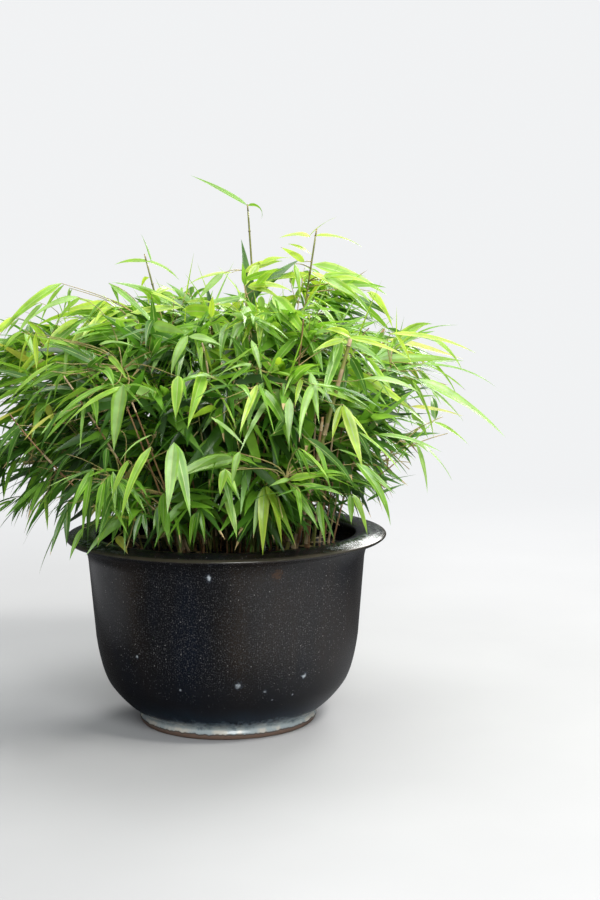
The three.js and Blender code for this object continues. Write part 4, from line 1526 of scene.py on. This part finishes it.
def leaf_points(leaves, form):
    """The corners of each leaf: rows of columns across it, and its tip."""
    t, columns = np.array(form["stations"], float), np.array(form["columns"], float)
    middle, side, lift = leaf_middles(leaves, t)
    half = (leaves["width"][:, None] / 2 * leaf_width(t)[None, :])[..., None]
    out = half * columns
    fold = (leaves["fold"][:, None] * (1 - FOLD_LOST * t)[None, :])[..., None]
    rise = fold * half * (BLADE_CURVE[0] * np.abs(columns) - BLADE_CURVE[1] * columns ** 2)
    rise = rise - np.where(np.abs(columns) < RIB_WITHIN, RIB_DEPTH, 0)
    along = WAVE_HALF_TURNS * math.pi * t[None, :, None]
    turn = along + leaves["phase"][:, None, None] + WAVE_AHEAD * columns
    rise = rise + WAVE * half * np.abs(columns) * np.sin(turn)
    points = middle[:, :, None] + out[..., None] * side[:, :, None] + rise[..., None] * lift[:, :, None]
    rows = points[:, :-1].reshape(len(middle), -1, 3)
    return np.concatenate([rows, middle[:, -1:, :]], axis=1)


def leaf_marks(leaves, cells, columns):
    """The number of each cell's material: that of its leaf, of its leaf's margin, whose tone paints sheen and
    the light through the edges, or of the rib.
    """
    rib = np.array([max(abs(columns[c]), abs(columns[c + 1])) < RIB_WITHIN for _, c in cells])
    edge = np.array([min(abs(columns[c]), abs(columns[c + 1])) > MARGIN_FROM for _, c in cells])
    tint = leaves["tint"].astype(int)
    margin = np.where(tint < len(MARGINS), len(TINTS) + tint, tint)
    marks = np.where(edge[None, :], margin[:, None], tint[:, None])
    return np.where(rib[None, :], RIB_MARK, marks)


def add_leaves(bunch, leaves, form):
    """All these leaves: blades folded along a raised rib, bent by their weight, and twisted a little."""
    if not leaves:
        return
    leaves = {key: np.array([leaf[key] for leaf in leaves]) for key in leaves[0]}
    vertices = leaf_points(leaves, form)
    count, per_leaf = vertices.shape[:2]
    rows, wide = len(form["stations"]) - 1, len(form["columns"])
    cells = [(r, c) for r in range(rows - 1) for c in range(wide - 1)]
    quads = [(r * wide + c, r * wide + c + 1, (r + 1) * wide + c + 1, (r + 1) * wide + c) for r, c in cells]
    last = (rows - 1) * wide
    tips = [(last + c, last + c + 1, per_leaf - 1) for c in range(wide - 1)]
    marks = leaf_marks(leaves, cells, form["columns"])
    tip_marks = np.where(leaves["dry"], DRY_MARK, leaves["tint"].astype(int))
    offsets = np.arange(count)[:, None, None] * per_leaf
    base = bunch.size
    bunch.add(vertices.reshape(-1, 3), (np.array(quads)[None] + offsets).reshape(-1, 4), marks.ravel())
    bunch.add_faces((np.array(tips)[None] + offsets).reshape(-1, 3) + base, np.repeat(tip_marks, len(tips)))


# Materials.

class Shader:
    """The nodes of a material or of the world. Each helper adds nodes and gives back an output of theirs."""

    def __init__(self, owner):
        self.owner = owner
        owner.use_nodes = True
        owner.node_tree.nodes.clear()
        self.coordinates = self.add("TexCoord").outputs
        self.place = self.coordinates["Object"]

    def add(self, kind, inputs=(), **settings):
        """A node with these settings. Each input is given a value, or an output of another node."""
        node = self.owner.node_tree.nodes.new("ShaderNode" + kind)
        for name, value in settings.items():
            setattr(node, name, value)
        for name, value in dict(inputs).items():
            if isinstance(value, bpy.types.NodeSocket):
                self.owner.node_tree.links.new(value, node.inputs[name])
            else:
                node.inputs[name].default_value = value
        return node

    def math(self, operation, *values):
        return self.add("Math", dict(enumerate(values)), operation=operation).outputs["Value"]

    def vector_math(self, operation, output, *values):
        return self.add("VectorMath", dict(enumerate(values)), operation=operation).outputs[output]

    def axes(self, place):
        """A place's X, Y and Z."""
        return self.add("SeparateXYZ", {"Vector": place}).outputs

    def noise(self, scale, detail):
        """Noise over the piece. With three scales, it is drawn out along an axis where its scale is low."""
        place = self.place
        if isinstance(scale, tuple):
            place = self.add("Mapping", {"Vector": place, "Scale": scale}).outputs["Vector"]
            scale = 1
        return self.add("TexNoise", {"Vector": place, "Scale": scale, "Detail": detail}).outputs["Fac"]

    def ramp(self, value, stops):
        """A colour that goes through these stops as a value rises."""
        node = self.add("ValToRGB", {"Fac": value})
        elements = node.color_ramp.elements
        while len(elements) < len(stops):
            elements.new(0.5)
        for element, (place, colour) in zip(elements, stops):
            element.position = place
            element.color = (*colour, 1)
        return node.outputs["Color"]

    def fade(self, value, none_at, full_at):
        """A mask that goes from 0 to 1 as a value goes from none_at to full_at."""
        span = {"Value": value, "From Min": none_at, "From Max": full_at}
        return self.add("MapRange", span, interpolation_type="SMOOTHSTEP").outputs["Result"]

    def all_of(self, mask, *others):
        """A mask that is 1 only where all of these are."""
        for other in others:
            mask = self.math("MULTIPLY", mask, other)
        return mask

    def lowered(self, value, noise, most):
        """A value less a share of a length, by a noise."""
        return self.math("MULTIPLY_ADD", noise, -most, value)

    def layer(self, under, colour, mask):
        """A colour laid over another where the mask is 1."""
        return self.add("Mix", {0: mask, 6: under, 7: (*colour, 1)}, data_type="RGBA").outputs[2]

    def specks(self, scale, size, left_out):
        """A mask of small round specks in random cells, of which a share is left out."""
        cells = self.add("TexVoronoi", {"Vector": self.place, "Scale": scale}).outputs
        near = self.fade(cells["Distance"], *[size * share for share in SPECK_EDGE])
        pick = self.add("SeparateColor", {"Color": cells["Color"]}).outputs["Red"]
        return self.all_of(near, self.math("GREATER_THAN", pick, left_out))

    def bump(self, height, strength, depth, **under):
        """The normals of bumps, over the Normal of others where that is given."""
        inputs = {"Height": height, "Strength": strength, "Distance": depth, **under}
        return self.add("Bump", inputs).outputs["Normal"]

    def surface(self, **inputs):
        """A surface with these inputs, in whose names _ stands for a space."""
        named = {name.replace("_", " "): value for name, value in inputs.items()}
        return self.add("BsdfPrincipled", named).outputs["BSDF"]

    def mixed(self, share, one, other):
        return self.add("MixShader", {"Fac": share, 1: one, 2: other}).outputs["Shader"]

    def finish(self, surface, kind="Material"):
        self.add("Output" + kind, {"Surface": surface})
        return self.owner


def leaf_material(name, colour, through):
    """A satin leaf, with a colour of its own for the light that comes through it."""
    shader = Shader(bpy.data.materials.new(name))
    shades = [tuple(min(c * shade, 1) for c in colour) for shade in LEAF_SHADES]
    tint = shader.ramp(shader.noise(*LEAF_NOISE), list(zip(LEAF_STOPS, shades)))
    bumps = shader.bump(shader.noise(*LEAF_GRAIN), *LEAF_BUMPS)
    upper = shader.surface(
        Base_Color=tint, Roughness=LEAF_ROUGHNESS, Specular_IOR_Level=LEAF_SPECULAR, Normal=bumps,
    )
    behind = shader.add("BsdfTranslucent", {"Color": (*through, 1)}).outputs["BSDF"]
    return shader.finish(shader.mixed(LEAF_THROUGH, upper, behind))


def plain_material(name):
    """A material that varies between two colours in patches."""
    dark, light, scale, roughness, depth = PLAIN[name]
    shader = Shader(bpy.data.materials.new(name))
    noise = shader.noise(scale, PLAIN_DETAIL)
    colour = shader.ramp(noise, list(zip(PLAIN_STOPS, (dark, light))))
    inputs = {"Base_Color": colour, "Roughness": roughness}
    if depth:
        inputs["Normal"] = shader.bump(noise, PLAIN_BUMPS, depth)
    return shader.finish(shader.surface(**inputs))


def spot_mask(shader, height, turn, size, ruffle):
    """One spot on the pot. The noise makes its edge ragged."""
    radius = float(np.interp(height, OUTSIDE_HEIGHTS, OUTSIDE_RADII))
    centre = tuple(around(math.radians(turn), radius, height) * MM)
    far = shader.vector_math("DISTANCE", "Value", shader.place, centre)
    ragged = shader.lowered(far, ruffle, size * SPOT_RAGGED * MM)
    return shader.fade(ragged, *[size * share * MM for share in SPOT_EDGE])


def glaze_body(shader):
    """The clouded black of the glaze, with its specks and spots."""
    colour = shader.ramp(shader.noise(*GLAZE_NOISES["clouds"]), GLAZE_CLOUDS)
    for scale, size, left_out, tint in GLAZE_SPECKS:
        colour = shader.layer(colour, tint, shader.specks(scale, size, left_out))
    ruffle = shader.noise(*GLAZE_NOISES["ruffled spots"])
    for height, turn, size in GLAZE_SPOTS:
        for share, tint in SPOT_LAYERS:
            colour = shader.layer(colour, tint, spot_mask(shader, height, turn, size * share, ruffle))
    return shader.layer(colour, RUST, spot_mask(shader, *RUST_SPOT, ruffle))


def glaze_foot(shader, colour, height):
    """The bands where the glaze thins towards the foot, and the mask of the raw clay below it."""
    wide = shader.noise(*GLAZE_NOISES["wide streaks"])
    fine = shader.noise(*GLAZE_NOISES["fine streaks"])
    levels = {"wide": shader.lowered(height, wide, STREAK_LENGTHS["wide"])}
    levels["fine"] = shader.lowered(height, fine, STREAK_LENGTHS["fine"])
    levels["both"] = shader.lowered(levels["wide"], fine, STREAK_LENGTHS["both"])
    patches = shader.fade(wide, *FOOT_PATCHES)
    for level, none_at, full_at, patchy, tint in FOOT_BANDS:
        mask = shader.fade(levels[level], none_at, full_at)
        if patchy:
            mask = shader.all_of(patches, mask)
        colour = shader.layer(colour, tint, mask)
    return colour, mask


def glaze_rim(shader, colour, x, height):
    """A painted reflection, mottled grey-green, on top of the rim at both sides, and the brown edge of its
    lip.
    """
    level = shader.vector_math("MULTIPLY", "Vector", shader.place, (1, 1, 0))
    far = shader.vector_math("LENGTH", "Value", level)
    sides = shader.fade(shader.math("ABSOLUTE", x), *RIM_SIDES)
    on_rim = shader.fade(far, *RIM_OUT)
    above = shader.fade(height, *RIM_UP)
    patches = shader.fade(shader.noise(*GLAZE_NOISES["rim"]), *RIM_PATCHES)
    # The painted reflection on the rim's top, in patches at both sides.
    colour = shader.layer(colour, PAINTED_RIM_REFLECTION, shader.all_of(sides, on_rim, patches, above))
    lip = shader.fade(far, *LIP_OUT)
    upper = shader.fade(height, *LIP_UP)
    return shader.layer(colour, LIP_BROWN, shader.all_of(lip, upper))


def glaze_material():
    """Black glaze with pale specks, a bluish band where it thins at the foot, and raw clay below."""
    shader = Shader(bpy.data.materials.new("glaze_black"))
    axes = shader.axes(shader.place)
    colour, raw = glaze_foot(shader, glaze_body(shader), axes["Z"])
    colour = glaze_rim(shader, colour, axes["X"], axes["Z"])
    ends = {"Value": raw, "To Min": GLAZE_ROUGHNESS, "To Max": CLAY_ROUGHNESS}
    roughness = shader.add("MapRange", ends).outputs["Result"]
    ripples = shader.bump(shader.noise(*GLAZE_NOISES["ripples"]), *RIPPLE_BUMPS)
    grain = shader.bump(shader.noise(*GLAZE_NOISES["grain"]), *GRAIN_BUMPS, Normal=ripples)
    surface = shader.surface(Base_Color=colour, Roughness=roughness, Specular_IOR_Level=0.5, Normal=grain)
    return shader.finish(surface)


def floor_material():
    """A pale floor, which fades into the backdrop away from the pot, and shows darker in the glaze."""
    shader = Shader(bpy.data.materials.new("floor_pale"))
    tint = shader.ramp(shader.noise(*FLOOR_NOISE), FLOOR_COLOURS)
    path = shader.add("LightPath").outputs
    mirrored = path["Is Glossy Ray"]
    axes = shader.axes(shader.place)
    colour = shader.layer(tint, MIRRORED_FLOOR, mirrored)
    for x_span, y_span, lighter in MIRRORED_PARTS:
        part = shader.all_of(shader.fade(axes["X"], *x_span), shader.fade(axes["Y"], *y_span), mirrored)
        colour = shader.layer(colour, lighter, part)
    near = shader.add("BsdfDiffuse", {"Color": colour}).outputs["BSDF"]
    strength = shader.fade(path["Is Camera Ray"], *FLOOR_GLOW)
    far = shader.add("Emission", {"Color": (*BACKDROP, 1), "Strength": strength}).outputs["Emission"]
    distance = shader.vector_math("LENGTH", "Value", shader.place)
    return shader.finish(shader.mixed(shader.fade(distance, *FLOOR_FADE), near, far))


# The pieces.

def make_foliage(crown, name, clumps, materials):
    """The leaves of these masses as one piece."""
    leaves = [leaf for leaf in crown.leaves if leaf["clump"] in clumps]
    bunch = Bunch()
    add_leaves(bunch, [leaf for leaf in leaves if leaf["fine"]], FINE_LEAF)
    add_leaves(bunch, [leaf for leaf in leaves if not leaf["fine"]], PLAIN_LEAF)
    piece = bunch.mesh(name, materials)
    return piece


def make_all_foliage(crown, materials):
    for ring in RINGS:
        for number, part in enumerate(np.array_split(np.arange(ring["count"]), ring["pieces"])):
            clumps = [f"{ring['name']}_{i + 1}" for i in part]
            piece = make_foliage(crown, f"foliage_{ring['name']}_{number + 1}", clumps, materials)
            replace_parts(piece, *["leaves_" + clump for clump in clumps])
    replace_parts(make_foliage(crown, "foliage_shoots", ["shoots"], materials), "leaves_shoot_1")


def make_twigs(crown):
    bunch = Bunch()
    for twig in crown.twigs:
        points = twig["points"]
        tube(bunch, points, np.linspace(*twig["radii"], len(points)), twig["sides"])
    piece = bunch.mesh("twigs", [plain_material("twig_olive")])
    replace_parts(piece, *["leaves_" + name for _, _, name, _ in all_clumps()])


def make_canes(crown):
    bunch = Bunch()
    chance = random.Random(SEEDS["canes"])
    names = []
    for ring, index, name, _ in all_clumps():
        add_cane(bunch, cane_line(ring, index)["controls"], CANE_RADIUS, chance.choice(CANE_TINTS), chance)
        names.append("cane_" + name)
    for number, shoot in enumerate(SHOOTS):
        add_cane(bunch, shoot_line(shoot)["controls"], SHOOT_RADIUS, OLIVE, chance, sheaths=0.0)
        names.append(f"cane_shoot_{number + 1}")
    for controls in crown.side_canes:
        tint = chance.choice(SIDE_CANE_TINTS)
        add_cane(bunch, controls, SIDE_CANE_RADIUS, tint, chance, SIDE_CANE_STEPS, SIDE_CANE_SIDES)
    for foot, bend, tip, radius, tint in FRONT_CANES:
        add_cane(bunch, front_cane_line(foot, bend, tip), radius, tint, chance)
    piece = bunch.mesh("bamboo_canes", [plain_material(name) for name in CANE_MATERIALS])
    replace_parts(piece, *names)


def make_litter(materials):
    """Dry leaves that have fallen on the soil, between the feet of the canes."""
    chance = random.Random(SEEDS["litter"])
    fallen = Crown()
    for _ in range(LITTER):
        turn = chance.uniform(0, 2 * math.pi)
        place = around(turn, LITTER_REACH * math.sqrt(chance.random()), 0)
        bump = float(soil_bumps(place[:1], place[1:2])[0])
        root = place + UP * (SOIL_HEIGHT + max(bump, 0) + LITTER_LIFT)
        along = unit(around(chance.uniform(0, 2 * math.pi), 1, chance.uniform(*LITTER_TILT)))
        length = chance.uniform(*LITTER_LENGTH)
        width = length * LITTER_SLENDER
        add_leaf(fallen, root, along, length, width, LITTER_BEND, DRY_MARK, chance, fine=False, normal=UP)
    bunch = Bunch()
    add_leaves(bunch, fallen.leaves, PLAIN_LEAF)
    piece = bunch.mesh("fallen_leaves", materials)


# The floor, the world, the lights and the camera.

def make_floor():
    mesh = bpy.data.meshes.new("floor")
    corners = [(x * FLOOR_REACH, y * FLOOR_REACH, 0) for x, y in ((-1, -1), (1, -1), (1, 1), (-1, 1))]
    mesh.from_pydata(corners, [], [(0, 1, 2, 3)])
    floor = add_object("floor", mesh)
    mesh.materials.append(floor_material())


def make_world():
    """A sky that is brighter higher up, and a plain backdrop where the camera sees it."""
    world = bpy.data.worlds.new("studio")
    bpy.context.scene.world = world
    shader = Shader(world)
    shade = shader.ramp(shader.axes(shader.coordinates["Generated"])["Z"], SKY)
    lit = shader.add("Background", {"Color": shade, "Strength": SKY_STRENGTH}).outputs["Background"]
    seen = shader.add("Background", {"Color": (*BACKDROP, 1), "Strength": 1}).outputs["Background"]
    path = shader.add("LightPath").outputs
    shader.finish(shader.mixed(path["Is Camera Ray"], lit, seen), "World")


def area_light(name, place, target, size, power, colour):
    light = bpy.data.lights.new(name, "AREA")
    light.shape = "DISK"
    light.size = size
    light.energy = power
    light.color = colour
    lamp = add_object(name, light)
    lamp.location = place
    way = Vector(target) - Vector(place)
    lamp.rotation_euler = way.to_track_quat("-Z", "Y").to_euler()


def make_camera():
    data = bpy.data.cameras.new("camera")
    data.lens = CAMERA_LENS
    data.sensor_width = CAMERA_SENSOR
    data.clip_end = 100
    camera = add_object("camera", data)
    level = Euler((math.radians(90 - CAMERA_PITCH), 0, math.radians(CAMERA_TURN))).to_matrix().to_4x4()
    roll = Matrix.Rotation(math.radians(CAMERA_ROLL), 4, "Z")
    camera.matrix_world = Matrix.Translation(CAMERA_PLACE) @ level @ roll
    bpy.context.scene.camera = camera


crown = grow_crown()
leaf_materials = [leaf_material("leaf_" + name, *tint) for name, tint in TINTS.items()]
# The margins' materials paint the sheen and the light through the leaves' edges.
leaf_materials += [leaf_material("margin_" + name, *tint) for name, tint in MARGINS.items()]
leaf_materials.append(leaf_material("leaf_rib", *RIB_COLOUR))
leaf_materials.append(plain_material("leaf_dry"))
make_all_foliage(crown, leaf_materials)
make_twigs(crown)
make_canes(crown)
make_litter(leaf_materials)
make_pot()
make_soil()
make_floor()
make_world()
for name, light in LIGHTS.items():
    area_light(name, *light)
make_camera()
bpy.context.scene.view_settings.view_transform = "Standard"
